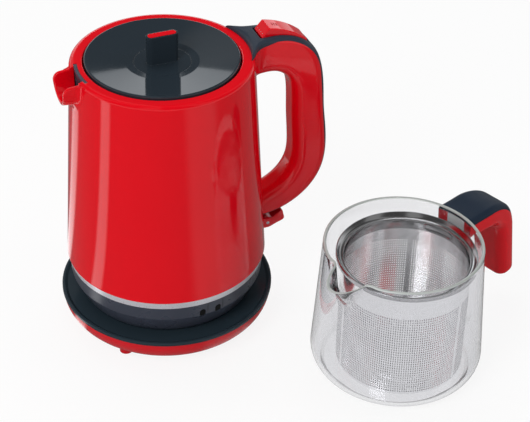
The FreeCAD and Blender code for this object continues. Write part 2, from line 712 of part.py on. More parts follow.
def base_ring_and_lenses():
    """Dark ring under the red body, with two indicator windows and their lenses."""
    body = turned_body("kettle_base_ring", RING_SECTION + [
        ("ring_foot_radius + 1", "ring_top"),
        ("ring_foot_radius + 1", "ring_top - 2.2"),
        ("ring_top_radius - ring_wall", "ring_top - 2.2"),
        ("ring_knee_radius - ring_wall", "ring_knee"),
        ("ring_foot_radius + 0.6", "ledge_bottom + 2.4"),
        ("ledge_radius", "ledge_bottom + 2.4"),
        ("ledge_radius", "ledge_bottom"),
        ("ring_foot_radius - 2", "ledge_bottom"),
    ])
    count = int(mm("screw_count"))
    raise_from(body, "cover_posts", ring_of(count, *COVER_SCREWS, "cover_screw_head + 0.6"),
               "ledge_bottom + 1", "cover_screw_length")
    sink_from(body, "cover_pilots", ring_of(count, *COVER_SCREWS, "cover_screw_radius + pin_fit"),
              "ledge_bottom", "cover_screw_length")
    skin = shape = body.Shape
    outer, inner = mm("ring_knee_radius + 5"), mm("ring_knee_radius - ring_wall - 6")
    lens_back = mm("ring_knee_radius - lens_wall")
    lenses = []
    for place in ("window_first", "window_second"):
        x = mm(place)
        shape = shape.cut(slab(window_outline(x, 0), -outer, -inner))
        plug = slab(window_outline(x, -mm("pin_fit")), -outer, -inner)
        lenses.append(plug.common(skin).cut(cylinder(lens_back, 0, mm("ring_top"))))
    shaped("kettle_base_ring", shape.removeSplitter(), KETTLE)
    shaped("indicator_lenses", Part.makeCompound(lenses), KETTLE)


def bottom_screws():
    low = mm("socket_bottom + 0.1")
    head = mm("cover_head_height")
    count = int(mm("screw_count"))
    screws = []
    for step in range(count):
        x, y = on_ring(mm("cover_screw_circle"), mm("cover_screw_turn") + 360 / count * step)
        high = low + head + mm("cover_screw_length")
        screws.append(screw(mm("cover_screw_radius"), mm("cover_screw_head"), head, low, high, x, y))
    shaped("bottom_screws", Part.makeCompound(screws), KETTLE)



def control_board():
    """Upright circuit board behind the windows, with a lamp for each."""
    back = mm("ring_foot_radius - 6")
    seat = mm("ledge_bottom + 2.4")
    first, second = mm("window_first"), mm("window_second")
    middle = (first + second) / 2
    board = block(middle - 14, middle + 14, -back, -back + 1.6, seat, mm("ring_top - 3.5"))
    tip = mm("ring_knee_radius - lens_wall") - 3
    shape = board
    for x in (first, second):
        lamp = Part.makeCylinder(1.5, tip - back, V(x, -back, mm("window_height")), V(0, -1, 0))
        shape = shape.fuse(lamp)
    chip = block(middle - 5, middle + 4, -back + 1.6, -back + 3.2, seat + 6, seat + 13)
    shaped("control_board", shape.fuse(chip).removeSplitter(), KETTLE)


def power_switch():
    """Switch block on the ring's ledge, under the lever, with its push rod."""
    seat = mm("ledge_bottom + 2.4")
    outer = mm("ring_foot_radius - 0.6")
    housing = block(outer - 16, outer - 1, -7, 7, seat, seat + 15)
    rod = cylinder(1.6, seat + 15, seat + 19, outer - 5)
    shaped("power_switch", housing.fuse(rod).removeSplitter(), KETTLE)


def silver_ring():
    body = turned_body("silver_ring", [
        ("ring_top_radius - ring_wall", "ring_top"),
        ("ring_top_radius", "ring_top"),
        ("belly_radius", "belly_bottom"),
        ("ring_top_radius - ring_wall", "belly_bottom"),
    ])
    node(body, "silver_ring", KETTLE)


# Kettle body, liner and heater

HANDLE_SCREWS = ("lower_screw_z", "upper_screw_z")


def belly(height):
    """Outside radius of the red body at a height, as an expression."""
    share = f"({height} - belly_bottom) / (rim_top - belly_bottom)"
    return f"(belly_radius - (belly_radius - neck_radius) * {share})"


def inside_belly(height):
    return belly(height) + " - body_wall"


def spout_trough(radius, end, low, high):
    """U-shaped bar along the spout's slope: a round bottom with upright sides above it."""
    rise = math.radians(mm("spout_slope"))
    along = V(-math.cos(rise), 0, math.sin(rise))
    tip = V(-mm("spout_reach"), 0, low + radius / math.cos(rise))
    start = tip + along * end
    back = start - along * mm("spout_reach")
    round_bar = Part.makeCylinder(radius, mm("spout_reach"), back, along)
    sides = slab([(start.x, start.z), (start.x, high), (back.x, high), (back.x, back.z)], -radius, radius)
    return round_bar.fuse(sides)


def spout_channel():
    """The hollow of the spout, open to the sky."""
    low = mm("spout_tip_height + spout_outer - spout_inner")
    return spout_trough(mm("spout_inner"), 2 * mm("spout_corner"), low, mm("rim_top") + mm("spout_outer"))


def spout_pieces():
    """The spout as a solid nose that turns down at its end, and the slivers that round its hollow lip."""
    low, brow, corner = mm("spout_tip_height"), mm("spout_brow"), mm("spout_corner")
    end, rim = -mm("spout_reach"), mm("rim_top")
    start = -mm("mouth_radius + 1")
    bar = spout_trough(mm("spout_outer"), corner, low, rim + corner)
    outline = flat_wire([
        (start, low - corner), (start, rim - 1), (end + corner, brow, "left", corner),
        (end, brow - corner), (end + 1, low - corner)])
    width = V(0, 4 * mm("spout_outer"), 0)
    outline.translate(width * -0.5)
    crest = Part.makeCompound([edge.extrude(width) for edge in outline.Edges[1:4]])
    nose = bar.common(Part.Face(outline).extrude(width))
    sharp = nose.cut(spout_channel())

    def on_crest(edge):
        middle = edge.valueAt((edge.FirstParameter + edge.LastParameter) / 2)
        places = [vertex.Point for vertex in edge.Vertexes] + [middle]
        away = max(crest.distToShape(Part.Vertex(place))[0] for place in places)
        return away < 0.01 and abs(middle.y) > 0.01 and middle.x < start - 0.01

    rounded = sharp.makeFillet(mm("spout_lip"), [edge for edge in sharp.Edges if on_crest(edge)])
    return nose, sharp.cut(rounded)



def spout_seam(edge):
    """Whether an edge runs where the spout leaves the red body below its rim."""
    on_body = all(abs(math.hypot(point.Point.x, point.Point.y) - mm(belly(point.Point.z))) < 0.01
                  for point in edge.Vertexes)
    middle = edge.valueAt((edge.FirstParameter + edge.LastParameter) / 2)
    beside = middle.x < 0 and abs(middle.y) < mm("spout_outer") + 0.01
    return on_body and beside and middle.z < mm("rim_top") and edge.Length < 2 * mm("spout_reach")


def kettle_shell():
    """One moulding: tapered body, rounded rim, neck, lid ledge, spout trough and the lever's lugs."""
    wall = "body_wall"
    neck = "mouth_radius + 2"
    body = turned_body("kettle_shell_wall", [
        ("belly_radius - " + wall, "belly_bottom"),
        ("belly_radius", "belly_bottom"),
        (belly("(rim_top - rim_round)"), "rim_top - rim_round", "left", "rim_round"),
        (belly("(rim_top - rim_round)") + " - rim_round", "rim_top"),
        ("mouth_radius + 0.8", "rim_top", "left", "0.8"),
        ("mouth_radius", "rim_top - 0.8"),
        ("mouth_radius", "lid_seat"),
        ("mouth_radius - seat_width", "lid_seat"),
        ("mouth_radius - seat_width", "lid_seat - 2"),
        ("mouth_radius", "lid_seat - 2"),
        ("mouth_radius", "neck_bottom"),
        (neck, "neck_bottom"),
        (neck, "rim_top - rim_round"),
        (belly("(rim_top - rim_round)") + " - " + wall, "rim_top - rim_round"),
    ])
    hull_shape = Part.Face(flat_wire([
        (0, mm("belly_bottom")), (mm("belly_radius"), mm("belly_bottom")),
        (mm(belly("rim_top")), mm("rim_top")), (0, mm("rim_top"))])).revolve(V(), Z_AXIS, 360)
    nose, slivers = spout_pieces()
    shape = body.Shape.fuse(nose).removeSplitter()
    seam = [edge for edge in shape.Edges if spout_seam(edge)]
    shape = shape.makeFillet(mm("spout_blend"), seam)
    frame_seat = ring_sector(mm("mouth_radius + 1"), mm(belly("neck_bottom")) - 1.0, mm("filter_foot") - 7,
                             mm("rim_top") - 1, 180, mm("filter_angle") + 3.5).common(hull_shape)
    shape = shape.fuse(frame_seat)
    rail, frame_outside = mm("filter_rail"), mm("filter_radius + filter_wall")
    channel = spout_channel().cut(cylinder(frame_outside, 0, 2 * mm("rim_top")))
    slot = ring_sector(mm("filter_radius") - 0.1, frame_outside + 0.1, mm("filter_foot") - 0.1,
                       mm("rim_top") + 1, 180, mm("filter_angle") + 0.2)
    throat = ring_sector(mm("mouth_radius") - 1, mm("filter_radius"), mm("filter_foot") + rail,
                         mm("lid_seat") - 2, 180, mm("filter_angle") - math.degrees(rail / frame_outside))
    shape = shape.cut(channel.fuse([slot, throat])).cut(slivers.cut(body.Shape))
    lug_low = mm("lever_width") / 2 + mm("run")
    lug_high = lug_low + mm("lug_wall")
    pivot_x, pivot_z = mm("lever_pivot_x"), mm("lever_pivot_z")
    for side in (-1, 1):
        near, far = sorted((side * lug_low, side * lug_high))
        lug = slab([(mm("belly_radius") - 2.0, pivot_z - 4.2), (pivot_x, pivot_z - 4.2, "left", 4.2),
                    (pivot_x, pivot_z + 4.2), (mm("belly_radius") - 2.0, pivot_z + 4.2)], near, far)
        shape = shape.fuse(lug)
    shape = shape.cut(across(mm("lever_pin + pin_fit"), lug_high + 1, pivot_x, pivot_z))
    for height in HANDLE_SCREWS:
        start = V(mm(inside_belly(height)) - 2, 0, mm(height))
        shape = shape.cut(Part.makeCylinder(mm("screw_radius + slip"), 8, start, V(1, 0, 0)))
    shaped("kettle_shell", shape.removeSplitter(), KETTLE)


def spout_filter():
    """Curved frame with upright bars, dropped into its slot behind the spout."""
    low, high = mm("filter_foot"), mm("rim_top") - 0.3
    inner, outer = mm("filter_radius"), mm("filter_radius + filter_wall")
    angle = mm("filter_angle")
    rail = mm("filter_rail")
    rail_angle = math.degrees(rail / inner)
    frame = ring_sector(inner, outer, low, high, 180, angle)
    window = ring_sector(inner - 1, outer + 1, low + rail, high - rail, 180, angle - rail_angle)
    shape = frame.cut(window)
    bars = int(mm("filter_bars"))
    span = 2 * (angle - rail_angle)
    for step in range(1, bars + 1):
        turn = 180 - span / 2 + span * step / (bars + 1)
        bar = ring_sector(inner + 0.7, outer - 0.7, low + rail / 2, high - rail / 2, turn, 0.45)
        shape = shape.fuse(bar)
    shaped("spout_filter", shape.removeSplitter(), KETTLE)


def handle_screws():
    """Screws from inside the body into both ends of the handle."""
    screws = []
    for height in HANDLE_SCREWS:
        face = mm(inside_belly(height)) - mm("slip")
        start = V(face, 0, mm(height))
        shank = Part.makeCylinder(mm("screw_radius"), mm("handle_screw_length"), start, V(1, 0, 0))
        head = Part.makeCylinder(mm("screw_head"), mm("handle_screw_head"), start, V(-1, 0, 0))
        screws.append(shank.fuse(head).removeSplitter())
    shaped("handle_screws", Part.makeCompound(screws), KETTLE)


LINER_FOOT = "(ring_top + seal_height)"


def liner_pieces():
    """Steel liner, the seal it stands on, and the heater brazed under its floor."""
    outer_low = belly("liner_floor") + " - liner_gap"
    outer_high = belly("neck_bottom") + " - liner_gap"
    wall = "liner_wall"
    body = turned_body("kettle_liner", [
        (outer_low + " - " + wall, LINER_FOOT),
        (outer_low, LINER_FOOT),
        (outer_low, "liner_floor"),
        (outer_high, "neck_bottom - 1.5 * " + wall, "left", "1.5 * " + wall),
        (outer_high + " - 1.5 * " + wall, "neck_bottom"),
        ("mouth_radius", "neck_bottom"),
        ("mouth_radius", "neck_bottom - " + wall),
        (outer_high + " - 2.2 * " + wall, "neck_bottom - " + wall),
        (outer_low + " - " + wall, "liner_floor + " + wall),
        ("0", "liner_floor + " + wall),
        ("0", "liner_floor"),
        (outer_low + " - " + wall, "liner_floor"),
    ])
    node(body, "kettle_liner", KETTLE)
    seal = turned_body("liner_seal", [
        ("ring_foot_radius + 2", "ring_top"),
        (outer_low + " + 0.2", "ring_top"),
        (outer_low + " + 0.2", LINER_FOOT),
        ("ring_foot_radius + 2", LINER_FOOT),
    ])
    node(seal, "liner_seal", KETTLE)
    heater = turned_body("heating_plate", [
        ("0", "liner_floor - heater_wall"),
        ("heater_radius - 1", "liner_floor - heater_wall"),
        ("heater_radius", "liner_floor - heater_wall + 1"),
        ("heater_radius", "liner_floor"),
        ("0", "liner_floor"),
    ])
    node(heater, "heating_plate", KETTLE)
    radius = mm("coil_radius")
    height = mm("liner_floor - heater_wall - tube_radius - pin_fit")
    half_gap = mm("coil_gap") / 2
    shape = Part.makeTorus(radius, mm("tube_radius"), V(0, 0, height), Z_AXIS, 0, 360, 360 - 2 * half_gap)
    shape.rotate(V(), Z_AXIS, 90 + half_gap)
    for angle in (90 + half_gap, 90 - half_gap):
        x, y = on_ring(radius, angle)
        terminal = cylinder(mm("tube_radius") * 0.6, height - mm("terminal_length"), height, x, y)
        cap = Part.makeSphere(mm("tube_radius"), V(x, y, height))
        shape = shape.fuse([cap, terminal])
    shaped("heating_element", shape.removeSplitter(), KETTLE)


# Handle

ROCKER_PIVOT = "(arm_top - rocker_sunk)"


def arc_point(centre_x, centre_z, radius, turn):
    angle = math.radians(turn)
    return V(centre_x + radius * math.cos(angle), 0, centre_z + radius * math.sin(angle))


# Sections of the saddle: place along the arm, rise of its top and spread of its width, as shares.
SADDLE = ((0.0, 0.0, 1.0), (0.11, 0.0, 0.83), (0.26, 0.34, 0.53), (0.37, 0.69, 0.27), (0.48, 0.91, 0.12),
          (0.70, 1.0, 0.02))


def handle_stations():
    """Outer point, inner point, width and corner roundings of each section, from the rim to the lower root."""
    top, under = mm("arm_top"), mm("arm_under")
    root, turn_x = mm("saddle_start"), mm("top_turn_x")
    width = mm("grip_width")
    soft, edge = mm("handle_round"), mm("saddle_edge_round")
    flare = 2 * root * math.tan(math.radians(mm("saddle_span")))
    seat = mm("rim_top + saddle_rise")
    stations = []
    for share, rise, spread in SADDLE:
        x = root + (turn_x - root) * share
        outer = V(x, 0, seat + (top - seat) * rise)
        inner = V(x - 1.5 * share, 0, under - 5 * (1 - rise) ** 2)
        stations.append((outer, inner, width + (flare - width) * spread, edge, soft))
    top_z, crook_z = top - mm("top_turn_radius"), under - mm("crook_radius")
    for turn in (90, 62, 34, 6):
        outer = arc_point(turn_x, top_z, mm("top_turn_radius"), turn)
        inner = arc_point(mm("crook_x"), crook_z, mm("crook_radius"), turn)
        stations.append((outer, inner, width, soft - (soft - edge) * turn / 130, soft))
    heel = (mm("heel_x"), mm("heel_z"), mm("heel_radius"))
    hollow = (mm("hollow_x"), mm("hollow_z"), mm("hollow_radius"))
    low_outer, low_inner = arc_point(*heel, 5), arc_point(*hollow, 5)
    last_outer, last_inner = stations[-1][0], stations[-1][1]
    stations.append(((last_outer + low_outer) * 0.5, (last_inner + low_inner) * 0.5, width, soft, soft))
    for turn in (5, -20, -44, -64):
        stations.append((arc_point(*heel, turn), arc_point(*hollow, turn), width, soft, soft))
    root = mm("root_x")
    root_outer, root_inner = V(root, 0, mm("lower_root_under")), V(root, 0, mm("lower_root_top"))
    small = (root_inner.z - root_outer.z) * 0.36
    between = (stations[-1][1] + root_inner) * 0.5
    stations.append((arc_point(*heel, -84), between, width * 1.02, 2 * small, 2 * small))
    stations.append((root_outer, root_inner, width * 1.15, small, small))
    return stations



def section_wire(outer, inner, width, outer_round, inner_round):
    """Rounded rectangle in the plane through two points and the y direction."""
    deep = outer - inner
    half_w, half_d = width / 2, deep.Length / 2
    deep = deep * (1 / deep.Length)
    side = V(0, 1, 0)
    middle = (outer + inner) * 0.5

    def at(w, d):
        return middle + side * w + deep * d

    edges = []
    for sw, sd, across_first in ((1, 1, True), (-1, 1, False), (-1, -1, True), (1, -1, False)):
        corner = outer_round if sd > 0 else inner_round
        diagonal = corner * (1 - math.sqrt(0.5))
        on_side = at(sw * half_w, sd * (half_d - corner))
        on_end = at(sw * (half_w - corner), sd * half_d)
        via = at(sw * (half_w - diagonal), sd * (half_d - diagonal))
        ends = (on_side, on_end) if across_first else (on_end, on_side)
        edges.append((Part.Arc(ends[0], via, ends[1]).toShape(), ends))
    wire_edges = []
    for index, (arc, ends) in enumerate(edges):
        following = edges[(index + 1) % 4][1]
        wire_edges += [arc, Part.LineSegment(ends[1], following[0]).toShape()]
    return Part.Wire(wire_edges)



def inner_outline():
    """Side outline of everything inside the spine."""
    wall = mm("spine_wall")
    top = mm("arm_top") - wall
    turn_x, top_radius = mm("top_turn_x"), mm("top_turn_radius")
    heel = (mm("heel_x"), mm("heel_z"), mm("heel_radius") - wall)
    side_top = arc_point(turn_x, mm("arm_top") - top_radius, top_radius - wall, 5)
    side_low = arc_point(*heel, 5)
    bottom = arc_point(*heel, -88)
    neck, seat = mm("neck_radius"), mm("rim_top")
    return [
        (20, seat), (20, bottom.z), (bottom.x, bottom.z, "left", heel[2]), (side_low.x, side_low.z),
        (side_top.x, side_top.z, "left", top_radius - wall), (turn_x, top),
        (neck + (turn_x - neck) * 0.56, seat + (top - seat) * 0.5), (neck, seat),
    ]



def body_envelope(gap):
    """Everything inside the red body's outside, and above the rim everything inside the saddle's edge."""
    low, high, round_out = mm("belly_bottom"), mm("rim_top"), mm("rim_round")
    spring = high - round_out
    shoulder = mm(belly("(rim_top - rim_round)"))
    edge = mm("neck_radius - saddle_inset")
    crest = spring + math.sqrt((round_out + gap) ** 2 - (edge - shoulder + round_out) ** 2)
    soft = mm("saddle_round")
    outline = [(0, low - 10), (mm("belly_radius") + gap, low - 10), (mm("belly_radius") + gap, low),
               (shoulder + gap, spring, "left", round_out + gap), (edge, crest, "right", soft),
               (edge + soft, crest + soft), (edge + soft, high + 40), (0, high + 40)]
    return Part.Face(flat_wire(outline)).revolve(V(), Z_AXIS, 360)



def handle():
    """Moulded D-handle: red shell, dark spine with the saddle, and the pocket for the rocker."""
    wires = [section_wire(*station) for station in handle_stations()]
    whole = Part.makeLoft(wires, True, False)
    whole = whole.cut(body_envelope(mm("pin_fit")))
    core = slab(inner_outline(), -60, 60)
    half = mm("rocker_width") / 2 + mm("pocket_play")
    front, back = mm("rocker_front") - 1.6, mm("rocker_back") + 1.4
    pocket = block(front, back, -half, half, mm("arm_top - pocket_depth"), mm("arm_top") + 30)
    pin_half = mm("grip_width") / 2 - 1.2
    pivot_x, pivot_z = mm("rocker_pivot_x"), mm(ROCKER_PIVOT)
    pin_hole = across(mm("rocker_pin + pin_fit"), pin_half + 0.1, pivot_x, pivot_z)
    red = whole.common(core).cut(pocket).cut(pin_hole)
    for height in HANDLE_SCREWS:
        start = V(mm(inside_belly(height)), 0, mm(height))
        shank = Part.makeCylinder(mm("screw_radius + pin_fit"), mm("handle_screw_length"), start, V(1, 0, 0))
        red = red.cut(shank)
    dark = whole.cut(core).cut(pocket)
    shaped("handle_shell", red.removeSplitter(), KETTLE)
    shaped("handle_spine", dark.removeSplitter(), KETTLE)
    shaped("rocker_pin", across(mm("rocker_pin"), pin_half, pivot_x, pivot_z), KETTLE)



def rocker_button():
    """Two-position rocker on its pin: a leaning front face and a long curved top."""
    front, back = mm("rocker_front"), mm("rocker_back")
    peak = mm("arm_top + rocker_rise")
    x, z = mm("rocker_pivot_x"), mm(ROCKER_PIVOT)
    half, hub, tail = mm("rocker_width") / 2, mm("rocker_hub"), mm("rocker_tail")
    outline = [
        (front + 0.8, z + 0.7 * hub), (front, peak - mm("rocker_nose")),
        (front + mm("rocker_lean"), peak, "right", mm("rocker_crown")),
        (back, z + 0.3 * hub), (back, z + 0.3 * hub - tail), (back - 2, z - hub), (x, z - hub),
    ]
    shape = slab(outline, -half, half)
    soft = [edge for edge in shape.Edges if min(vertex.Point.z for vertex in edge.Vertexes) > z]
    shape = shape.makeFillet(mm("rocker_soft"), soft)
    shape = shape.fuse(across(hub, half, x, z))
    shape = shape.cut(across(mm("rocker_pin + pin_fit"), half + 1, x, z)).removeSplitter()
    shaped("rocker_button", shape, KETTLE)



def power_lever():
    """Paddle under the lower arm, with its hub between the lugs."""
    x, z = mm("lever_pivot_x"), mm("lever_pivot_z")
    reach = mm("lever_reach")
    half = mm("lever_width") / 2
    hub = mm("lever_hub")
    outline = [
        (x, z - hub), (x + 3.2, z - 6.6), (reach - 6.8, z - 4.4), (reach - 1.6, z - 2.6, "left", 2.6),
        (reach, z + 0.2), (reach - 1.4, z + 6.2, "left", 1.2), (reach - 3, z + 7.0),
        (x + 4.6, z + 1.8), (x, z + hub),
    ]
    paddle = slab(outline, -half, half)
    soft = [edge for edge in paddle.Edges if abs(edge.Vertexes[0].Point.y - edge.Vertexes[1].Point.y) < half]
    paddle = paddle.makeFillet(mm("lever_soft"), soft).cut(across(hub + 0.02, half + 1, x, z))
    shape = paddle.fuse(across(hub + 0.02, half, x, z))
    shape = shape.cut(across(mm("lever_pin + pin_fit"), half + 1, x, z)).removeSplitter()
    shaped("power_lever", shape, KETTLE)
    pin_half = half + mm("run + lug_wall")
    shaped("lever_pin", across(mm("lever_pin"), pin_half, x, z), KETTLE)


# Lid

def lid_pieces():
    """Dished top with a rolled edge, plug, seal, and the grip with its inlay and screw."""
    wall = "lid_wall"
    skirt = "lid_radius - 2.2"
    recess = "cap_radius + slip"
    dish = turned_body("lid_dish", [
        ("lid_radius", "plug_flange + 2.4"),
        ("lid_radius", "lid_top - 1.1", "left", "1.1"),
        ("lid_radius - 1.1", "lid_top"),
        ("lid_radius - 2.6", "lid_top - 0.2"),
        (recess + " + 6", "lid_dip + 0.4"),
        (recess, "lid_dip"),
        (recess, "lid_dip - cap_wall"),
        ("grip_screw + slip", "lid_dip - cap_wall"),
        ("grip_screw + slip", "lid_dip - cap_wall - " + wall),
        (recess + " + 6", "lid_dip - cap_wall - " + wall),
        (skirt, "lid_dip - cap_wall + 1"),
        (skirt, "plug_flange + 2.4"),
    ])
    node(dish, "lid_dish", KETTLE)
    plug = turned_body("lid_plug", [
        ("0", "plug_bottom"),
        ("plug_radius - 2.5", "plug_bottom", "left", "2.5"),
        ("plug_radius", "plug_bottom + 2.5"),
        ("plug_radius", "plug_flange"),
        ("lid_radius - 0.3", "plug_flange"),
        ("lid_radius - 0.3", "plug_flange + 2.4"),
        ("plug_radius - 2", "plug_flange + 2.4"),
        ("plug_radius - 2", "plug_bottom + 2.2"),
        ("0", "plug_bottom + 2.2"),
    ])
    node(plug, "lid_plug", KETTLE)
    seal = turned_body("lid_seal", [
        ("plug_radius + 0.1", "lid_seat + run"),
        ("seal_radius - 1.2", "lid_seat + run"),
        ("seal_radius", "(lid_seat + run + plug_flange) / 2"),
        ("seal_radius - 1.2", "plug_flange"),
        ("plug_radius + 0.1", "plug_flange"),
    ])
    node(seal, "lid_seal", KETTLE)
    lid_grip()


def stadium(length, width, low, high):
    """Upright plate with round ends along x."""
    radius = width / 2
    middle = block(-length / 2 + radius, length / 2 - radius, -radius, radius, low, high)
    ends = [cylinder(radius, low, high, side * (length / 2 - radius)) for side in (-1, 1)]
    return middle.fuse(ends).removeSplitter()


def lid_grip():
    length, width = mm("blade_length"), mm("blade_width")
    top, base = mm("blade_top"), mm("lid_dip - cap_wall")
    margin, depth = mm("inlay_margin"), mm("inlay_depth")
    disc = cylinder(mm("cap_radius"), base, mm("lid_dip"))
    blade = stadium(length, width, base, top)
    grip = disc.fuse(blade)
    tray = stadium(length - 2 * margin, width - 2 * margin, top - depth, top + 1)
    pilot = cylinder(mm("grip_screw + pin_fit"), base, base + 14)
    grip = grip.cut(tray).cut(pilot).removeSplitter()
    inlay = stadium(length - 2 * margin - 0.1, width - 2 * margin - 0.1, top - depth, top + 0.3)
    for piece in (grip, inlay):
        piece.rotate(V(), Z_AXIS, mm("blade_turn"))
    shaped("lid_grip", grip, KETTLE)
    shaped("grip_inlay", inlay, KETTLE)
    under = mm("lid_dip - cap_wall - lid_wall")
    shank = screw(mm("grip_screw"), mm("grip_screw") + 2, 1.8, under - 1.8, base + 13, 0, 0)
    shaped("lid_screw", shank, KETTLE)


# Teapot

def glass_slope(height):
    """Outside radius of the glass above its widest place, as a number."""
    low, high = mm("pot_wide_height"), mm("pot_height")
    share = (height - low) / (high - low)
    return mm("pot_wide_radius") + (mm("pot_rim_radius") - mm("pot_wide_radius")) * share


def lip_cone(shrink):
    """Cone whose opening makes the pouring lip."""
    rim = mm("pot_height")
    depth, radius = mm("lip_depth"), mm("lip_radius") - shrink
    centre = -(mm("lip_reach") - mm("lip_radius"))
    root = -(glass_slope(rim - depth) - 1.5)
    top = V(centre, 0, rim + 2)
    bottom = V(root + shrink, 0, rim - depth)
    axis = top - bottom
    return Part.makeCone(0.8, radius * axis.Length / (axis.Length - 2), axis.Length, bottom, axis)



def glass_pot():
    """Glass body: rounded foot, tapered wall and a drooping pouring lip opposite the handle."""
    foot, wide, rim = mm("pot_foot_radius"), mm("pot_wide_radius"), mm("pot_rim_radius")
    knee, top = mm("pot_wide_height"), mm("pot_height")
    wall, floor, soft = mm("glass_wall"), mm("glass_floor"), mm("glass_edge")
    reach = wide - foot
    round_out = (reach ** 2 + knee ** 2) / (2 * reach)
    centre = wide - round_out
    round_in = round_out - wall
    floor_edge = centre + math.sqrt(round_in ** 2 - (knee - floor) ** 2)
    spring = glass_slope(top - soft)
    outer = [(0, 0), (foot, 0, "left", round_out), (wide, knee), (spring, top - soft, "left", soft),
             (spring - soft, top), (0, top)]
    inner = [(0, floor), (floor_edge, floor, "left", round_in), (wide - wall, knee),
             (spring - wall, top - soft, "right", soft), (spring - wall + soft, top),
             (spring - wall + soft, top + 1), (0, top + 1)]
    outside = Part.Face(flat_wire(outer)).revolve(V(), Z_AXIS, 360)
    inside = Part.Face(flat_wire(inner)).revolve(V(), Z_AXIS, 360)
    hinge, end = -(rim - 1.3), -(mm("lip_reach") + 20)
    slope = mm("lip_droop") / (mm("lip_reach") + hinge)
    above = slab([(hinge, top), (100, top), (100, top + 60), (end, top + 60),
                  (end, top + slope * (end - hinge))], -100, 100)
    lip_out = lip_cone(0).cut(above)
    lip_in = lip_cone(wall * 0.9)
    glass = outside.fuse(lip_out).cut(inside.fuse(lip_in)).removeSplitter()
    shaped("glass_pot", glass, POT)



def pot_handle_stations():
    """Sections of the teapot's handle from the glass to the end of the grip, and the grip's end."""
    top, low = mm("pot_height - cover_drop"), mm("pot_height - bracket_height")
    depth, turn = mm("pot_handle_depth"), mm("pot_handle_turn")
    width, wide, narrow = mm("pot_handle_width"), mm("bracket_width"), mm("pot_grip_width")
    edge, soft = 0.25 * depth, 0.45 * depth
    start, bracket_x = mm("pot_rim_radius - 6"), mm("pot_rim_radius + 3")
    stations = [
        (V(start, 0, top), V(start, 0, low), wide, edge, edge),
        (V(bracket_x + 1, 0, top), V(bracket_x + 1, 0, low + 2), wide, edge, edge),
        (V(bracket_x + 8, 0, top), V(bracket_x + 6, 0, top - depth + 1), wide, edge, edge),
    ]
    lean = mm("pot_handle_lean")
    centre = (mm("pot_turn_x"), top - turn)
    for share in (0, 0.33, 0.67, 1):
        angle = 90 + (lean - 90) * share
        out, inn = arc_point(*centre, turn, angle), arc_point(*centre, turn - depth, angle)
        rounding = edge + (soft - edge) * share
        stations.append((out, inn, wide + (width - wide) * share, rounding, rounding))
    down = V(math.sin(math.radians(lean)), 0, -math.cos(math.radians(lean)))
    length = (mm("pot_handle_end") - (out.z + inn.z) / 2) / down.z
    stations.append((out + down * length, inn + down * length, narrow, soft, soft))
    return stations


def pot_handle():
    """Red bracket and hanging grip, the soft cover over them and the clear pad at the glass."""
    top, low = mm("pot_height - cover_drop"), mm("pot_height - bracket_height")
    turn, end = mm("pot_handle_turn"), mm("pot_handle_end")
    wall, thin, gap = mm("cover_wall"), mm("cover_edge"), mm("bond_gap")
    wires = [section_wire(*station) for station in pot_handle_stations()]
    grip = Part.makeLoft(wires[-2:], True, True)
    tip = Part.Face(wires[-1])
    last = [edge for edge in grip.Edges
            if max(tip.distToShape(Part.Vertex(point.Point))[0] for point in edge.Vertexes) < 0.01]
    grip = grip.makeFillet(mm("pot_grip_round"), last)
    whole = Part.makeLoft(wires[:-1], True, False).fuse(grip).removeSplitter()
    glass = Part.makeCone(glass_slope(0) + gap, glass_slope(200) + gap, 200, V(), Z_AXIS)
    whole = whole.cut(glass)
    centre = (mm("pot_turn_x"), top - turn)
    lean = mm("pot_handle_lean")
    side = arc_point(*centre, turn - thin, lean)
    foot = side.x + (side.z - end + 20) * math.tan(math.radians(lean))
    core = slab([
        (20, top - wall), (20, end - 20), (foot, end - 20),
        (side.x, side.z, "left", turn - (wall + thin) / 2), (centre[0], top - wall)], -40, 40)
    red = whole.common(core)
    dark = whole.cut(core)
    pad_half = mm("pad_width") / 2
    pad_zone = block(20, mm("pot_rim_radius + 3") + 1.2, -pad_half, pad_half, low + 2, top - wall)
    pad = red.common(pad_zone)
    shaped("pot_handle_frame", red.cut(pad_zone).removeSplitter(), POT)
    shaped("pot_handle_cover", dark.removeSplitter(), POT)
    shaped("pot_handle_pad", pad.removeSplitter(), POT)



def infuser_pieces():
    """Steel basket: rolled rim with its step, perforated wall and bottom."""
    wall, radius, rim = "infuser_wall", "infuser_radius", "infuser_rim_radius"
    top, foot = "(pot_height - infuser_drop)", "infuser_foot"
    step = "(pot_height - infuser_drop - rim_step)"
    band = "(pot_height - infuser_drop - rim_step - band_height)"
    ring = turned_body("infuser_rim", [
        (radius + " - 2 * " + wall, band),
        (radius + " - " + wall, band),
        (radius + " - " + wall, step),
        (rim + " - 1.2", step + " + 1.2"),
        (rim + " - " + wall, top + " - 2 * rim_roll"),
        (rim, top + " - 2 * rim_roll"),
        (rim, top + " - rim_roll", "left", "rim_roll"),
        (rim + " - rim_roll", top),
        (rim + " - rim_roll - " + wall, top),
        (rim + " - 1.2 - " + wall, step + " + 2"),
        (radius + " - 2 * " + wall, step + " + " + wall),
    ])
    node(ring, "infuser_rim", INFUSER)
    tube = turned_body("infuser_mesh", [
        (radius + " - " + wall, foot),
        (radius, foot),
        (radius, step + " - 0.6"),
        (radius + " - " + wall, step + " - 0.6"),
    ])
    node(tube, "infuser_mesh", INFUSER)
    disc = turned_body("infuser_bottom", [
        ("0", foot),
        (radius + " - " + wall, foot),
        (radius + " - " + wall, foot + " + 3"),
        (radius + " - 2 * " + wall, foot + " + 3"),
        (radius + " - 2 * " + wall, foot + " + " + wall),
        ("0", foot + " + " + wall),
    ])
    node(disc, "infuser_bottom", INFUSER)


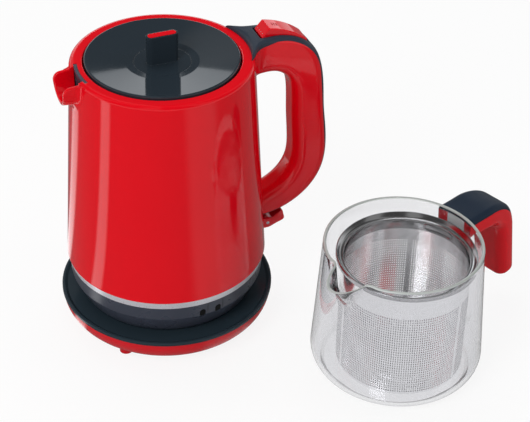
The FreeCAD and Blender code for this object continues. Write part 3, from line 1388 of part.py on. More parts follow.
def centre_footprint():
    """Move the whole set so that the origin is the middle of its footprint."""
    bounds = FreeCAD.BoundBox()
    for item in nodes:
        bounds.add(item.Shape.optimalBoundingBox())
    for row, (name, middle) in enumerate((("kettle_x", bounds.Center.x), ("kettle_y", bounds.Center.y))):
        place = mm(name) - middle
        sheet.set(f"B{len(SIZES) + 1 + row}", str(round(place, 3)))
    doc.recompute()


def check_and_write():
    """Stop on any failed object or shape, then write one file for each node."""
    doc.recompute()
    for item in doc.Objects:
        if "Invalid" in item.State or "Error" in item.State:
            raise ValueError(item.Label + " failed: " + str(item.State))
    for item in nodes:
        if item.Shape.isNull() or not item.Shape.isValid() or not item.Shape.Solids:
            raise ValueError(item.Label + " has no valid shape")
    os.makedirs("parts", exist_ok=True)
    for item in nodes:
        item.Shape.exportStep(f"parts/{item.Label}.step")
        print(f"{item.Label:22s} solids {len(item.Shape.Solids)} volume {item.Shape.Volume / 1000:8.2f} cm3")


fill_sheet()
base_shell()
cord_gland()
base_foot_pads()
base_plate()
base_connector()
contacts()
base_screws()
kettle_socket()
kettle_bottom_cover()
base_ring_and_lenses()
bottom_screws()
control_board()
power_switch()
silver_ring()
kettle_shell()
spout_filter()
liner_pieces()
handle()
handle_screws()
rocker_button()
power_lever()
lid_pieces()
glass_pot()
pot_handle()
infuser_pieces()
centre_footprint()
check_and_write()
for name, place in (("kettle", KETTLE), ("teapot", POT), ("infuser", INFUSER)):
    print(f"{name} axis at {mm(place[0]):.3f} {mm(place[1]):.3f}")
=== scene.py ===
"""Looks of the tea maker set: kettle on its base station, glass teapot and steel infuser."""
import json
import math
from collections import namedtuple

import bmesh
import bpy
from bpy.props import FloatProperty, FloatVectorProperty, IntProperty, PointerProperty
from mathutils import Matrix, Vector
from mathutils.bvhtree import BVHTree

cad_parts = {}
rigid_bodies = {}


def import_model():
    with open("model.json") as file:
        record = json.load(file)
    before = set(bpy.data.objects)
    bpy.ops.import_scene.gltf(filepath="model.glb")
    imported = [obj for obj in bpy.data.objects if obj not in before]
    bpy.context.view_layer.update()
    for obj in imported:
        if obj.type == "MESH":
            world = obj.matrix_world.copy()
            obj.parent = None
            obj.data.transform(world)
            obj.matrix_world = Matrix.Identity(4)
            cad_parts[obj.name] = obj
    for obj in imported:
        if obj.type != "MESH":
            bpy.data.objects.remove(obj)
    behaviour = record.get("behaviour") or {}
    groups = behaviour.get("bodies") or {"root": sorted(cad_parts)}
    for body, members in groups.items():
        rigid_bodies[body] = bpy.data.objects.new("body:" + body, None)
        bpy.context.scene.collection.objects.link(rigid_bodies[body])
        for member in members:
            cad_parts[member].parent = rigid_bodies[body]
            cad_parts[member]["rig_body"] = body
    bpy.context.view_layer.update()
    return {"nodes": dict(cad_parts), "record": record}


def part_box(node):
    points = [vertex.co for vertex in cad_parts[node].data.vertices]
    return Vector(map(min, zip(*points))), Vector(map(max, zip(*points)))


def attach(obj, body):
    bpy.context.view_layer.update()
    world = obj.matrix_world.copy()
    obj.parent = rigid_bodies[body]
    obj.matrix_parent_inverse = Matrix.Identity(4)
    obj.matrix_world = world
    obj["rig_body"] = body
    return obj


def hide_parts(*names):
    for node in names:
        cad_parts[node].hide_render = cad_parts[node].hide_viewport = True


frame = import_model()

bl_info = {
    "name": "Tea maker set",
    "version": (1, 0, 0),
    "blender": (4, 5, 0),
    "location": "View3D > Sidebar > Tea maker",
    "description": "Finishes, fine pieces and stage for the kettle, teapot and infuser",
    "category": "Object",
}

FINISH = "_finish"  # ending of a finish's name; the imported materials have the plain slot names

# Surface textures: grains in a metre, how far tones and gloss vary, and the radius of softened edges
CLOUDS, PATCHES, WAVES = 14.0, 60.0, 45.0
NOISE_LOW, NOISE_HIGH = 0.3, 0.7
COLOUR_PLAY, GLOSS_PLAY = 0.04, 0.15
METAL_TONES, METAL_GLOSS = (0.93, 1.04), (0.8, 1.25)
CLEAR_TONE, CLEAR_GLOSS = 0.995, (0.8, 1.2)
EDGE, EDGE_SAMPLES = 0.0005, 4
EVEN = (1, 1, 1)

# Fineness of the glass pot: points of each part of its half section, and the steps round it
BEND_POINTS, WALL_POINTS, RIM_POINTS, FLOOR_POINTS = 16, 48, 10, 6
LIP_STEP, ROUND_STEP = math.radians(0.75), math.radians(1.5)
LIP_REGION = 2.4  # half width of the finely stepped region, in half widths of the lip
INNER_BEND = math.radians(44)  # end of the inner round below the widest place
FLOOR_RUN = 0.7  # slope from there to the glass floor
GLASS_CREASE = math.radians(22)

# Form of the pouring lip, across it in parts of its half width
LIP_SOFTNESS, LIP_TRIM, LIP_FLARE, LIP_TIP = 0.012, 0.003, 1.6, 0.8
PINCH_PLACE, PINCH_WIDTH = 1.28, 0.26

# Infuser: clearance of rim and bottom, plain edge and open middle of the bottom, fineness of the rim
SEAT_GAP = 0.0001
BOTTOM_EDGE, BOTTOM_MIDDLE = 0.002, 0.0004
RIM_STEPS, RIM_CREASE = 240, math.radians(50)
RIM_LIP_STEPS, RIM_LIP_END = 6, math.radians(135)
ROLL_STEPS, ROLL_START, ROLL_END = 8, math.radians(60), math.radians(215)

# Half section of the infuser's rim: heights below its top, and distances from its wall, edge and skirt
NECK_DROP, FLARE_DROP, UNDERSIDE_DROP, EDGE_DROP = 0.0055, 0.0049, 0.0042, 0.0036
FLARE_REACH, EDGE_BEVEL, RIM_LIP = 0.0004, 0.0006, 0.0007
GROOVE_REACH, GROOVE_DROP = 0.0026, 0.0024
SLOPE_REACH, SLOPE_DROP = 0.0034, 0.0032
ROLL_REACH, ROLL_DROP, ROLL_RADIUS, SKIRT_DROP = 0.0002, 0.0045, 0.0008, 0.0062
LOOP_DROP = 0.0086
BEAD_SIDES, LOOP_END_STEPS, LOOP_SIDE_STEPS = 8, 8, 12

# Small plates on a surface: how far they stand proud, their corners, the grey dots' share of the rocker's
# width, and how far the lengths of a seam's dark strip of painted shade run into each other
MARK_PROUD, GREY_DOT_PROUD, SEAM_PROUD = 0.00006, 0.00005, 0.00005
CORNER_STEPS, CORNER_SHARE = 4, 0.98
GREY_DOT_ROOM = 0.8
SEAM_OVERLAP = 1.3
OUTSIDE = 0.02  # start of a search for a surface, outside the piece

# Glowing cards on the floor round the kettle, which only reflections show: painted reflections on the glossy
# pieces; degrees from +X, and brightness
Card = namedtuple("Card", "direction half_width brightness")
REFLECTION_GLOW_CARDS = (
    Card(direction=183.0, half_width=8.0, brightness=1.5),
    Card(direction=128.0, half_width=12.0, brightness=1.2),
    Card(direction=-66.0, half_width=24.0, brightness=0.36),
)

# Soft boxes: place from the kettle's axis, width and height, the stage's value for its power, and
# whether it shows in reflections
SoftBox = namedtuple("SoftBox", "name place size power tone mirrored", defaults=((1, 1, 1), False))
SOFT_BOXES = (
    SoftBox(name="key_box", place=(-0.9, -0.7, 1.1), size=(0.6, 0.9), power="key"),
    SoftBox(name="fill_box", place=(1.1, -0.5, 0.9), size=(0.5, 0.9), power="fill"),
    SoftBox(name="top_box", place=(0.1, 0.5, 1.5), size=(1.2, 0.7), power="top"),
    SoftBox(name="back_box", place=(0.6, 1.5, 0.75), size=(1.5, 0.4), power="back",
            tone=(0.92, 0.96, 1.0), mirrored=True),
)
AIM_HEIGHT = 0.1
FLOOR_TONE, FLOOR_ROUGHNESS = 0.9, 0.9
PANEL_EDGE = (0.2, 0.5)  # where a ceiling panel fades, as the sine of its direction
HORIZON = (0.02, 0.42)  # where white passes into the ceiling, as the Z part of a direction
SENSOR_WIDTH, CLIP_START, CLIP_END = 36, 0.05, 30


def axis_of(node):
    """Middle of a round node, on the floor."""
    low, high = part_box(node)
    return Vector(((low.x + high.x) / 2, (low.y + high.y) / 2, 0))


def mount_place(name):
    """Place of a mount of the record."""
    return Vector(next(mount for mount in frame["record"]["mounts"] if mount["name"] == name)["pos_m"])


def colour(text, default, what):
    """A colour that the user can change."""
    return FloatVectorProperty(name=text, description=what, default=default, subtype="COLOR", size=3,
                               min=0, max=1)


def length(text, default, what):
    """A length in metres."""
    return FloatProperty(name=text, description=what, default=default, unit="LENGTH", subtype="DISTANCE")


def share(text, default, what):
    """A number from 0 to 1."""
    return FloatProperty(name=text, description=what, default=default, min=0, max=1, subtype="FACTOR")


def angle(text, degrees, what):
    """An angle, given in degrees."""
    return FloatProperty(name=text, description=what, default=math.radians(degrees), subtype="ANGLE")


def number(text, default, what, least=1):
    """A whole number."""
    return IntProperty(name=text, description=what, default=default, min=least)


def power(text, default, what):
    """Power of a lamp in watts."""
    return FloatProperty(name=text, description=what, default=default, unit="POWER")


class TEAMAKER_PG_colours(bpy.types.PropertyGroup):
    """Colours and glosses of the set"""
    red: colour("Body red", (0.72, 0.001, 0.008), "Glossy red of the kettle body and handle")
    shell_red: colour("Base red", (0.64, 0.008, 0.016), "Satin red of the base station's shell")
    lid: colour("Lid", (0.019, 0.028, 0.037), "Glossy blue-black of the lid")
    plate: colour("Base plate", (0.021, 0.034, 0.045), "Dark top plate of the base station")
    ring: colour("Lower ring", (0.042, 0.049, 0.070), "Grey ring under the red body")
    soft: colour("Handle spine", (0.024, 0.034, 0.052), "Soft-touch spine of the kettle handle")
    navy: colour("Teapot handle cover", (0.012, 0.022, 0.040), "Soft-touch cover of the teapot handle")
    red_gloss: share("Red gloss roughness", 0.06, "Roughness of the glossy red mouldings")


class TEAMAKER_PG_glass(bpy.types.PropertyGroup):
    """Sizes of the blown glass pot"""
    turn: angle("Handle direction", 21.0, "Direction of the pot's handle from +X")
    foot: length("Foot radius", 0.0540, "Radius of the flat foot")
    knee: length("Widest height", 0.0164, "Height of the widest place")
    belly: length("Widest radius", 0.0652, "Outside radius at the widest place")
    rim: length("Rim radius", 0.0593, "Outside radius at the rim")
    height: length("Height", 0.1105, "Height of the rim")
    wall: length("Wall", 0.0024, "Thickness of the glass")
    floor: length("Floor", 0.0035, "Thickness of the glass floor")
    lip_reach: length("Lip reach", 0.0175, "How far the pouring lip stands out from the rim")
    lip_depth: length("Lip depth", 0.0260, "Height of the pouring lip")
    lip_droop: length("Lip droop", 0.0050, "How far the tip of the lip lies below the rim")
    lip_spread: angle("Lip spread", 15.2, "Half of the lip's width at the rim, as an angle")
    lip_pinch: length("Lip pinch", 0.0012, "How far the rim bends inwards beside the lip")


class TEAMAKER_PG_infuser(bpy.types.PropertyGroup):
    """Sizes of the perforated steel basket"""
    sheet: length("Sheet", 0.0005, "Thickness of the perforated sheet")
    pitch: length("Hole pitch", 0.00168, "Distance from hole to hole round the wall")
    rise: length("Row pitch", 0.0022, "Distance from row to row")
    hole: length("Hole width", 0.00075, "Width of a slot in the wall")
    slot: length("Hole height", 0.0013, "Height of a slot in the wall")
    band: length("Plain band", 0.0170, "Plain sheet above the holes")
    margin: length("Plain foot", 0.0020, "Plain sheet below the holes")
    strips: number("Plain strips", 3, "Upright strips without holes", least=0)
    strip_holes: number("Strip width", 2, "Width of a plain strip, in holes")
    strip_turn: angle("Strip turn", -62.0, "Direction of the first plain strip from +X")
    disc: length("Plain disc", 0.0300, "Radius of the plain middle of the bottom")
    skirt: length("Rim skirt", 0.0125, "Height of the rim's plain skirt inside the wall")
    skirt_wall: length("Skirt sheet", 0.0006, "Thickness of the rim's sheet")
    loop_start: angle("Loop start", 18.0, "Where the raised loop starts, from +X")
    loop_end: angle("Loop end", 47.0, "Where the raised loop ends, from +X")
    loop_height: length("Loop height", 0.0046, "Height of the raised loop")
    loop_wire: length("Loop wire", 0.0009, "Radius of the raised loop's bead")


class TEAMAKER_PG_rocker(bpy.types.PropertyGroup):
    """Marks of the rocker, small grey dots in its front, and dark strips of painted shade along the seams of
    the lower ring
    """
    mark: length("Mark length", 0.0042, "Length of a level mark on the rocker's top")
    mark_width: length("Mark width", 0.0008, "Width of a level mark")
    mark_inset: length("Mark inset", 0.0105, "First mark from the rocker's front end")
    mark_step: length("Mark step", 0.0018, "Distance from mark to mark")
    marks: number("Marks", 3, "Level marks on the rocker's top")
    # Size, drop and count of the small grey dots in the rocker's front
    lamp: length("Lamp size", 0.0007, "Width of a lamp in the rocker's front")
    grey_dot_drop: length("Lamp drop", 0.0048, "Lamps below the rocker's highest edge")
    lamps: number("Lamps", 4, "Lamps in the rocker's front")
    seam: length("Seam width", 0.0006, "Width of a seam in the lower ring")
    seam_drop: length("Seam drop", 0.0006, "Top of a seam below the top of the lower ring")
    seam_steps: number("Seam steps", 8, "Short lengths that a seam is laid in")
    seam_height: length("Seam height", 0.0095, "Height of a seam in the lower ring")
    first_seam: length("First seam", 0.0068, "First seam, along X from the kettle's axis")
    second_seam: length("Second seam", 0.0196, "Second seam, along X from the kettle's axis")


class TEAMAKER_PG_stage(bpy.types.PropertyGroup):
    """Camera, lamps and floor"""
    eye: FloatVectorProperty(
        name="Camera place", description="Camera place from the kettle's axis on the floor",
        default=(-0.3184, -0.9463, 0.8134), subtype="TRANSLATION", unit="LENGTH", size=3)
    heading: angle("Heading", 22.98, "Direction of view, clockwise from +Y")
    tilt: angle("Tilt", 35.906, "Angle of view below the horizon")
    roll: angle("Roll", 1.313, "Roll of the camera")
    lens: FloatProperty(name="Lens", description="Focal length on a 36 mm wide sensor", default=108.68,
                        subtype="DISTANCE_CAMERA")
    floor_size: length("Floor size", 8.0, "Width of the floor")
    ambient: share("Ambient", 0.40, "Strength of the even light")
    ceiling: share("Ceiling", 0.08, "Brightness of the ceiling in reflections")
    clear_ceiling: share("Ceiling through glass", 0.5, "Brightness of the ceiling seen through glass")
    dim_floor: share("Dim floor", 0.21, "Brightness of the floor between the cards, in reflections")
    panels: number("Panels", 5, "Pale panels round the ceiling, in reflections")
    panel: share("Panel", 0.34, "Brightness of those panels")
    floor_glow: share("Floor glow", 0.88, "How much of the floor's white doesn't depend on the lamps")
    key: power("Key", 11.0, "Power of the left soft box")
    fill: power("Fill", 2.4, "Power of the right soft box")
    top: power("Top", 6.0, "Power of the upper soft box")
    back: power("Back", 2.6, "Power of the soft box behind the set")


# Finishes

def new_material(name):
    """A node material with its shader, and its texture coordinates in metres."""
    material = bpy.data.materials.new(name + FINISH)
    material.use_nodes = True
    nodes = material.node_tree.nodes
    return material, nodes["Principled BSDF"], nodes.new("ShaderNodeTexCoord").outputs["Object"]


def noise(material, place, scale, detail=3.0, stretch=EVEN):
    """Noise with a given number of grains in a metre, stretched along some axes."""
    nodes, links = material.node_tree.nodes, material.node_tree.links
    mapping = nodes.new("ShaderNodeMapping")
    mapping.inputs["Scale"].default_value = stretch
    links.new(place, mapping.inputs["Vector"])
    grain = nodes.new("ShaderNodeTexNoise")
    grain.inputs["Scale"].default_value = scale
    grain.inputs["Detail"].default_value = detail
    links.new(mapping.outputs["Vector"], grain.inputs["Vector"])
    return grain.outputs["Fac"]


def spread(material, source, low, high, target):
    """Map a noise to a range and lead it to a socket."""
    nodes, links = material.node_tree.nodes, material.node_tree.links
    step = nodes.new("ShaderNodeMapRange")
    step.inputs["From Min"].default_value = NOISE_LOW
    step.inputs["From Max"].default_value = NOISE_HIGH
    step.inputs["To Min"].default_value = low
    step.inputs["To Max"].default_value = high
    links.new(source, step.inputs["Value"])
    links.new(step.outputs["Result"], target)


def shade_between(material, source, first, second, target):
    """Mix two colours by a noise."""
    nodes, links = material.node_tree.nodes, material.node_tree.links
    mix = nodes.new("ShaderNodeMix")
    mix.data_type = "RGBA"
    mix.inputs["A"].default_value = (*first, 1)
    mix.inputs["B"].default_value = (*second, 1)
    links.new(source, mix.inputs["Factor"])
    links.new(mix.outputs["Result"], target)


def relief(material, shader, source, height, soft_edge=0.0):
    """Raise the surface by a noise, with a height in metres, and soften its edges."""
    nodes, links = material.node_tree.nodes, material.node_tree.links
    bump = nodes.new("ShaderNodeBump")
    bump.inputs["Distance"].default_value = height
    bump.inputs["Strength"].default_value = 1.0
    if soft_edge:
        edge = nodes.new("ShaderNodeBevel")
        edge.samples = EDGE_SAMPLES
        edge.inputs["Radius"].default_value = soft_edge
        links.new(edge.outputs["Normal"], bump.inputs["Normal"])
    links.new(source, bump.inputs["Height"])
    links.new(bump.outputs["Normal"], shader.inputs["Normal"])


def tint(base, factor):
    """A colour made lighter or darker."""
    return tuple(min(channel * factor, 1.0) for channel in base)


def moulded(name, base, roughness, grain, depth, specular=0.5):
    """Moulded plastic: slight cloudiness, uneven gloss and the texture of the mould."""
    material, shader, place = new_material(name)
    shade_between(material, noise(material, place, CLOUDS), tint(base, 1 - COLOUR_PLAY),
                  tint(base, 1 + COLOUR_PLAY), shader.inputs["Base Color"])
    spread(material, noise(material, place, PATCHES), roughness * (1 - GLOSS_PLAY),
           roughness * (1 + GLOSS_PLAY), shader.inputs["Roughness"])
    relief(material, shader, noise(material, place, 1 / grain, detail=2.0), depth, soft_edge=EDGE)
    shader.inputs["Specular IOR Level"].default_value = specular


def metal(name, base, roughness, grain, depth, stretch=EVEN, metallic=1.0):
    """Metal with the fine lines of its last working."""
    material, shader, place = new_material(name)
    shader.inputs["Metallic"].default_value = metallic
    lines = noise(material, place, 1 / grain, detail=4.0, stretch=stretch)
    darker, lighter = (tint(base, tone) for tone in METAL_TONES)
    shade_between(material, lines, darker, lighter, shader.inputs["Base Color"])
    spread(material, lines, roughness * METAL_GLOSS[0], roughness * METAL_GLOSS[1],
           shader.inputs["Roughness"])
    relief(material, shader, lines, depth)


def clear(name, base, roughness, ior, depth, clearness=1.0):
    """Clear glass or silicone with the faint waves of its surface."""
    material, shader, place = new_material(name)
    waves = noise(material, place, WAVES, detail=1.0)
    shade_between(material, waves, tint(base, CLEAR_TONE), base, shader.inputs["Base Color"])
    shader.inputs["Transmission Weight"].default_value = clearness
    shader.inputs["IOR"].default_value = ior
    spread(material, waves, roughness * CLEAR_GLOSS[0], roughness * CLEAR_GLOSS[1],
           shader.inputs["Roughness"])
    relief(material, shader, waves, depth)


def finishes(colours):
    """One material for each slot of the record, one for the glass's edge (greenish tint of thick glass, half
    diffuse as a painted highlight) and one for the rocker's marks.
    """
    moulded("red_gloss", colours.red, colours.red_gloss, grain=0.004, depth=0.000006, specular=0.45)
    moulded("red_moulding", colours.shell_red, 0.24, grain=0.0006, depth=0.000008, specular=0.3)
    moulded("mark_red", (0.33, 0.002, 0.008), 0.45, grain=0.0006, depth=0.00001, specular=0.12)
    moulded("dark_plastic", colours.plate, 0.16, grain=0.0012, depth=0.000008, specular=0.3)
    moulded("grey_plastic", colours.ring, 0.30, grain=0.0005, depth=0.00001, specular=0.4)
    moulded("lid_gloss", colours.lid, 0.07, grain=0.004, depth=0.000006)
    moulded("soft_grey", colours.soft, 0.42, grain=0.0004, depth=0.00002, specular=0.3)
    moulded("soft_navy", colours.navy, 0.46, grain=0.0004, depth=0.00002, specular=0.16)
    moulded("black_rubber", (0.02, 0.02, 0.02), 0.6, grain=0.0008, depth=0.00003)
    moulded("smoked_lens", (0.003, 0.003, 0.003), 0.12, grain=0.003, depth=0.000004, specular=0.06)
    moulded("circuit_board", (0.02, 0.12, 0.05), 0.35, grain=0.0008, depth=0.00002)
    moulded("silicone", (0.42, 0.43, 0.45), 0.45, grain=0.001, depth=0.00002)
    metal("silver_trim", (0.74, 0.74, 0.79), 0.32, grain=0.0008, depth=0.000003, metallic=0.35)
    metal("brass", (0.75, 0.52, 0.22), 0.3, grain=0.001, depth=0.000005)
    metal("screw_steel", (0.55, 0.55, 0.57), 0.3, grain=0.0008, depth=0.000005)
    metal("cast_aluminium", (0.62, 0.62, 0.64), 0.4, grain=0.0007, depth=0.00002)
    metal("liner_steel", (0.72, 0.72, 0.74), 0.28, grain=0.003, depth=0.000004, stretch=(1, 1, 12))
    metal("polished_steel", (0.50, 0.50, 0.51), 0.16, grain=0.004, depth=0.000002, stretch=(1, 1, 10))
    metal("mesh_steel", (0.92, 0.92, 0.93), 0.13, grain=0.004, depth=0.000001, stretch=(1, 1, 8))
    clear("clear_glass", (0.855, 0.856, 0.872), 0.0, ior=1.47, depth=0.000004)
    # Edge of the glass: greenish tint of thick glass, made half diffuse and light as a painted highlight
    # along the rim
    clear("clear_glass_edge", (0.80, 0.85, 0.82), 0.05, ior=1.47, depth=0.000004, clearness=0.5)
    clear("clear_silicone", (0.94, 0.96, 0.96), 0.15, ior=1.41, depth=0.00001, clearness=0.03)


def dress(item, slot):
    """Give an object the material of a slot."""
    material = bpy.data.materials[slot + FINISH]
    item.data.materials.clear()
    item.data.materials.append(material)


class TEAMAKER_OT_finishes(bpy.types.Operator):
    """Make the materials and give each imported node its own"""
    bl_idname = "teamaker.finishes"
    bl_label = "Finishes"

    def execute(self, context):
        finishes(context.scene.teamaker_colours)
        for row in frame["record"]["subparts"]:
            item = frame["nodes"][row["node"]]
            dress(item, row["material_slot"])
            item.data.shade_smooth()
        return {"FINISHED"}


# Pieces

def add_piece(name, vertices, faces, node, slot):
    """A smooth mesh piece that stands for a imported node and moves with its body."""
    mesh = bpy.data.meshes.new(name)
    mesh.from_pydata(vertices, [], faces)
    mesh.update()
    mesh.shade_smooth()
    piece = bpy.data.objects.new(name, mesh)
    bpy.context.collection.objects.link(piece)
    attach(piece, frame["nodes"][node]["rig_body"])
    dress(piece, slot)
    return piece


def crease(piece, limit):
    """Keep edges sharp where two faces meet at more than an angle."""
    mesh = piece.data
    cut = bmesh.new()
    cut.from_mesh(mesh)
    for edge in cut.edges:
        edge.smooth = len(edge.link_faces) == 2 and edge.calc_face_angle(0) < limit
    cut.to_mesh(mesh)
    cut.free()


def arc(centre, radius, first, last, steps):
    """Points of an arc in a half section, as (radius, height)."""
    turns = (first + (last - first) * step / steps for step in range(steps + 1))
    return [(centre[0] + radius * math.cos(turn), centre[1] + radius * math.sin(turn)) for turn in turns]


def upright(bottom, top, steps):
    """Points between two points of a half section, without its ends."""
    wide, high = top[0] - bottom[0], top[1] - bottom[1]
    return [(bottom[0] + wide * step / steps, bottom[1] + high * step / steps) for step in range(1, steps)]


def glass_section(size):
    """Half section of the glass from its foot over the rim to its floor, and the rows of its edge."""
    reach = size.belly - size.foot
    bend = (reach ** 2 + size.knee ** 2) / (2 * reach)
    centre = (size.belly - bend, size.knee)
    start = -math.asin(size.knee / bend)
    half = size.wall / 2
    lip = (size.rim - half, size.height - half)
    outer = [(size.foot * step / FLOOR_POINTS, 0) for step in range(FLOOR_POINTS)]
    outer += arc(centre, bend, start, 0, BEND_POINTS)
    inner = arc(centre, bend - size.wall, 0, -INNER_BEND, BEND_POINTS)
    up = upright(outer[-1], (size.rim, size.height - half), WALL_POINTS)
    down = upright((size.rim - size.wall, size.height - half), inner[0], WALL_POINTS)
    flat = inner[-1][0] - (inner[-1][1] - size.floor) * FLOOR_RUN
    floor = [(flat * step / FLOOR_POINTS, size.floor) for step in range(FLOOR_POINTS, -1, -1)]
    edge = arc(lip, half, 0, math.pi, RIM_POINTS)
    first = len(outer) + len(up)
    return outer + up + edge + down + inner + floor, range(first, first + len(edge) - 1)


def lip_turns(half_width):
    """Directions round the pot from the lip, close together at the lip."""
    turns, turn = [], -math.pi
    while turn < math.pi - LIP_STEP / 10:
        turns.append(turn)
        at_lip = abs(turn + LIP_STEP / 3) < LIP_REGION * half_width
        turn += LIP_STEP if at_lip else ROUND_STEP
    return turns


def pull_lip(size, radius, height, turn):
    """Where a point of the round pot goes when the lip is pulled out."""
    part = max(0.0, 1 - (size.height - height) / size.lip_depth)
    if part == 0:
        return radius, height
    half_width = size.lip_spread * (0.5 + 0.5 * part)
    beside = abs(turn) / half_width
    across = min(beside, 2.0) * math.pi / 2
    pulled = (math.cos(across) + math.sqrt(math.cos(across) ** 2 + LIP_SOFTNESS)) / 2 - LIP_TRIM
    pulled = max(pulled, 0)
    pinch = math.exp(-((beside - PINCH_PLACE) / PINCH_WIDTH) ** 2) * size.lip_pinch * part ** 2
    out = size.lip_reach * part ** LIP_FLARE * pulled
    return radius + out - pinch, height - size.lip_droop * part ** 3 * pulled ** LIP_TIP


class TEAMAKER_OT_glass_pot(bpy.types.Operator):
    """Blow the glass pot with its rounded foot and rim and its pulled lip"""
    bl_idname = "teamaker.glass_pot"
    bl_label = "Glass pot"

    def execute(self, context):
        size = context.scene.teamaker_glass
        section, edge_rows = glass_section(size)
        turns = lip_turns(size.lip_spread)
        axis = mount_place("teapot_rest")
        facing = size.turn + math.pi
        vertices = []
        for radius, height in section:
            for turn in turns:
                out, up = pull_lip(size, radius, height, turn)
                way = facing + turn
                vertices.append(axis + Vector((out * math.cos(way), out * math.sin(way), up)))
        around = len(turns)
        faces = []
        for row in range(1, len(section) - 2):
            for step in range(around):
                following = (step + 1) % around
                faces.append((row * around + step, row * around + following,
                              (row + 1) * around + following, (row + 1) * around + step))
        last = (len(section) - 2) * around
        faces.append([around + step for step in reversed(range(around))])
        faces.append([last + step for step in range(around)])
        pot = add_piece("glass_pot_blown", vertices, faces, "glass_pot", "clear_glass")
        # The rim's rows take the edge material, with its painted highlight
        pot.data.materials.append(bpy.data.materials["clear_glass_edge" + FINISH])
        for row in edge_rows:
            for step in range(around):
                pot.data.polygons[(row - 1) * around + step].material_index = 1
        clear_loose(pot)
        crease(pot, GLASS_CREASE)
        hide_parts("glass_pot")
        return {"FINISHED"}


def clear_loose(piece):
    """Remove points that no face uses."""
    cut = bmesh.new()
    cut.from_mesh(piece.data)
    loose = [vertex for vertex in cut.verts if not vertex.link_faces]
    bmesh.ops.delete(cut, geom=loose, context="VERTS")
    cut.to_mesh(piece.data)
    cut.free()


def punched(name, columns, rows, place, holes, node, slot):
    """Closed sheet with holes: place gives a point of it, and holes says which cells are open."""
    lines = len(rows)
    around = len(columns)
    vertices = [place(column, row, side) for side in (0, 1) for row in rows for column in columns]

    def corner(side, row, column):
        return (side * lines + row) * around + column % around

    faces = []
    for row in range(lines - 1):
        for column in range(around):
            if holes(column, row):
                continue
            quad = [(row, column), (row, column + 1), (row + 1, column + 1), (row + 1, column)]
            faces.append([corner(0, *spot) for spot in quad])
            faces.append([corner(1, *spot) for spot in reversed(quad)])
            beside = ((row - 1, column), (row, column + 1), (row + 1, column), (row, column - 1))
            for index, (near_row, near_column) in enumerate(beside):
                outside = near_row < 0 or near_row > lines - 2
                if outside or holes(near_column % around, near_row):
                    first, second = quad[index], quad[(index + 1) % 4]
                    faces.append([corner(0, *second), corner(0, *first),
                                  corner(1, *first), corner(1, *second)])
    piece = add_piece(name, vertices, faces, node, slot)
    clear_loose(piece)
    piece.data.polygons.foreach_set("use_smooth", [False] * len(piece.data.polygons))
    return piece


def hole_lines(first, pitch, hole, count):
    """Lines at both sides of each of a row of holes."""
    return [first + step * pitch + side * hole for step in range(count) for side in (0, 1)]


def turned_ring(section, axis, steps):
    """Vertices and faces of a closed section turned round an axis."""
    vertices, faces = [], []
    for step in range(steps):
        turn = 2 * math.pi * step / steps
        vertices += [axis + Vector((radius * math.cos(turn), radius * math.sin(turn), height))
                     for radius, height in section]
    count = len(section)
    for step in range(steps):
        near, far = step * count, (step + 1) % steps * count
        for index in range(count):
            following = (index + 1) % count
            faces.append((near + index, far + index, far + following, near + following))
    return vertices, faces


def loop_path(size, axis, reach, middle):
    """Closed outline with round ends, lying on the inside of a round wall."""
    half = size.loop_height / 2
    side = half / reach
    ends = ((size.loop_end - side, 1), (size.loop_start + side, -1))
    path = []
    for turn, sense in ends:
        for step in range(LOOP_END_STEPS + 1):
            swing = math.pi * step / LOOP_END_STEPS
            path.append((turn + sense * side * math.sin(swing), middle + sense * half * math.cos(swing)))
    spots = []
    for first, second in zip(path, path[1:] + path[:1]):
        steps = LOOP_SIDE_STEPS if abs(second[0] - first[0]) > 2 * side else 1
        for step in range(steps):
            part = step / steps
            turn = first[0] + (second[0] - first[0]) * part
            height = first[1] + (second[1] - first[1]) * part
            spots.append(axis + Vector((reach * math.cos(turn), reach * math.sin(turn), height)))
    return spots


def sweep(path, axis, radius, vertices, faces):
    """Add a round bead along a closed path on a wall round the axis."""
    first = len(vertices)
    for index, spot in enumerate(path):
        ahead = (path[(index + 1) % len(path)] - path[index - 1]).normalized()
        outward = (spot - axis) * Vector((1, 1, 0))
        outward = (outward - ahead * outward.dot(ahead)).normalized()
        beside = ahead.cross(outward)
        for side in range(BEAD_SIDES):
            turn = 2 * math.pi * side / BEAD_SIDES
            vertices.append(spot + (outward * math.cos(turn) + beside * math.sin(turn)) * radius)
    for index in range(len(path)):
        near, far = first + index * BEAD_SIDES, first + (index + 1) % len(path) * BEAD_SIDES
        for side in range(BEAD_SIDES):
            following = (side + 1) % BEAD_SIDES
            faces.append((near + side, near + following, far + following, far + side))


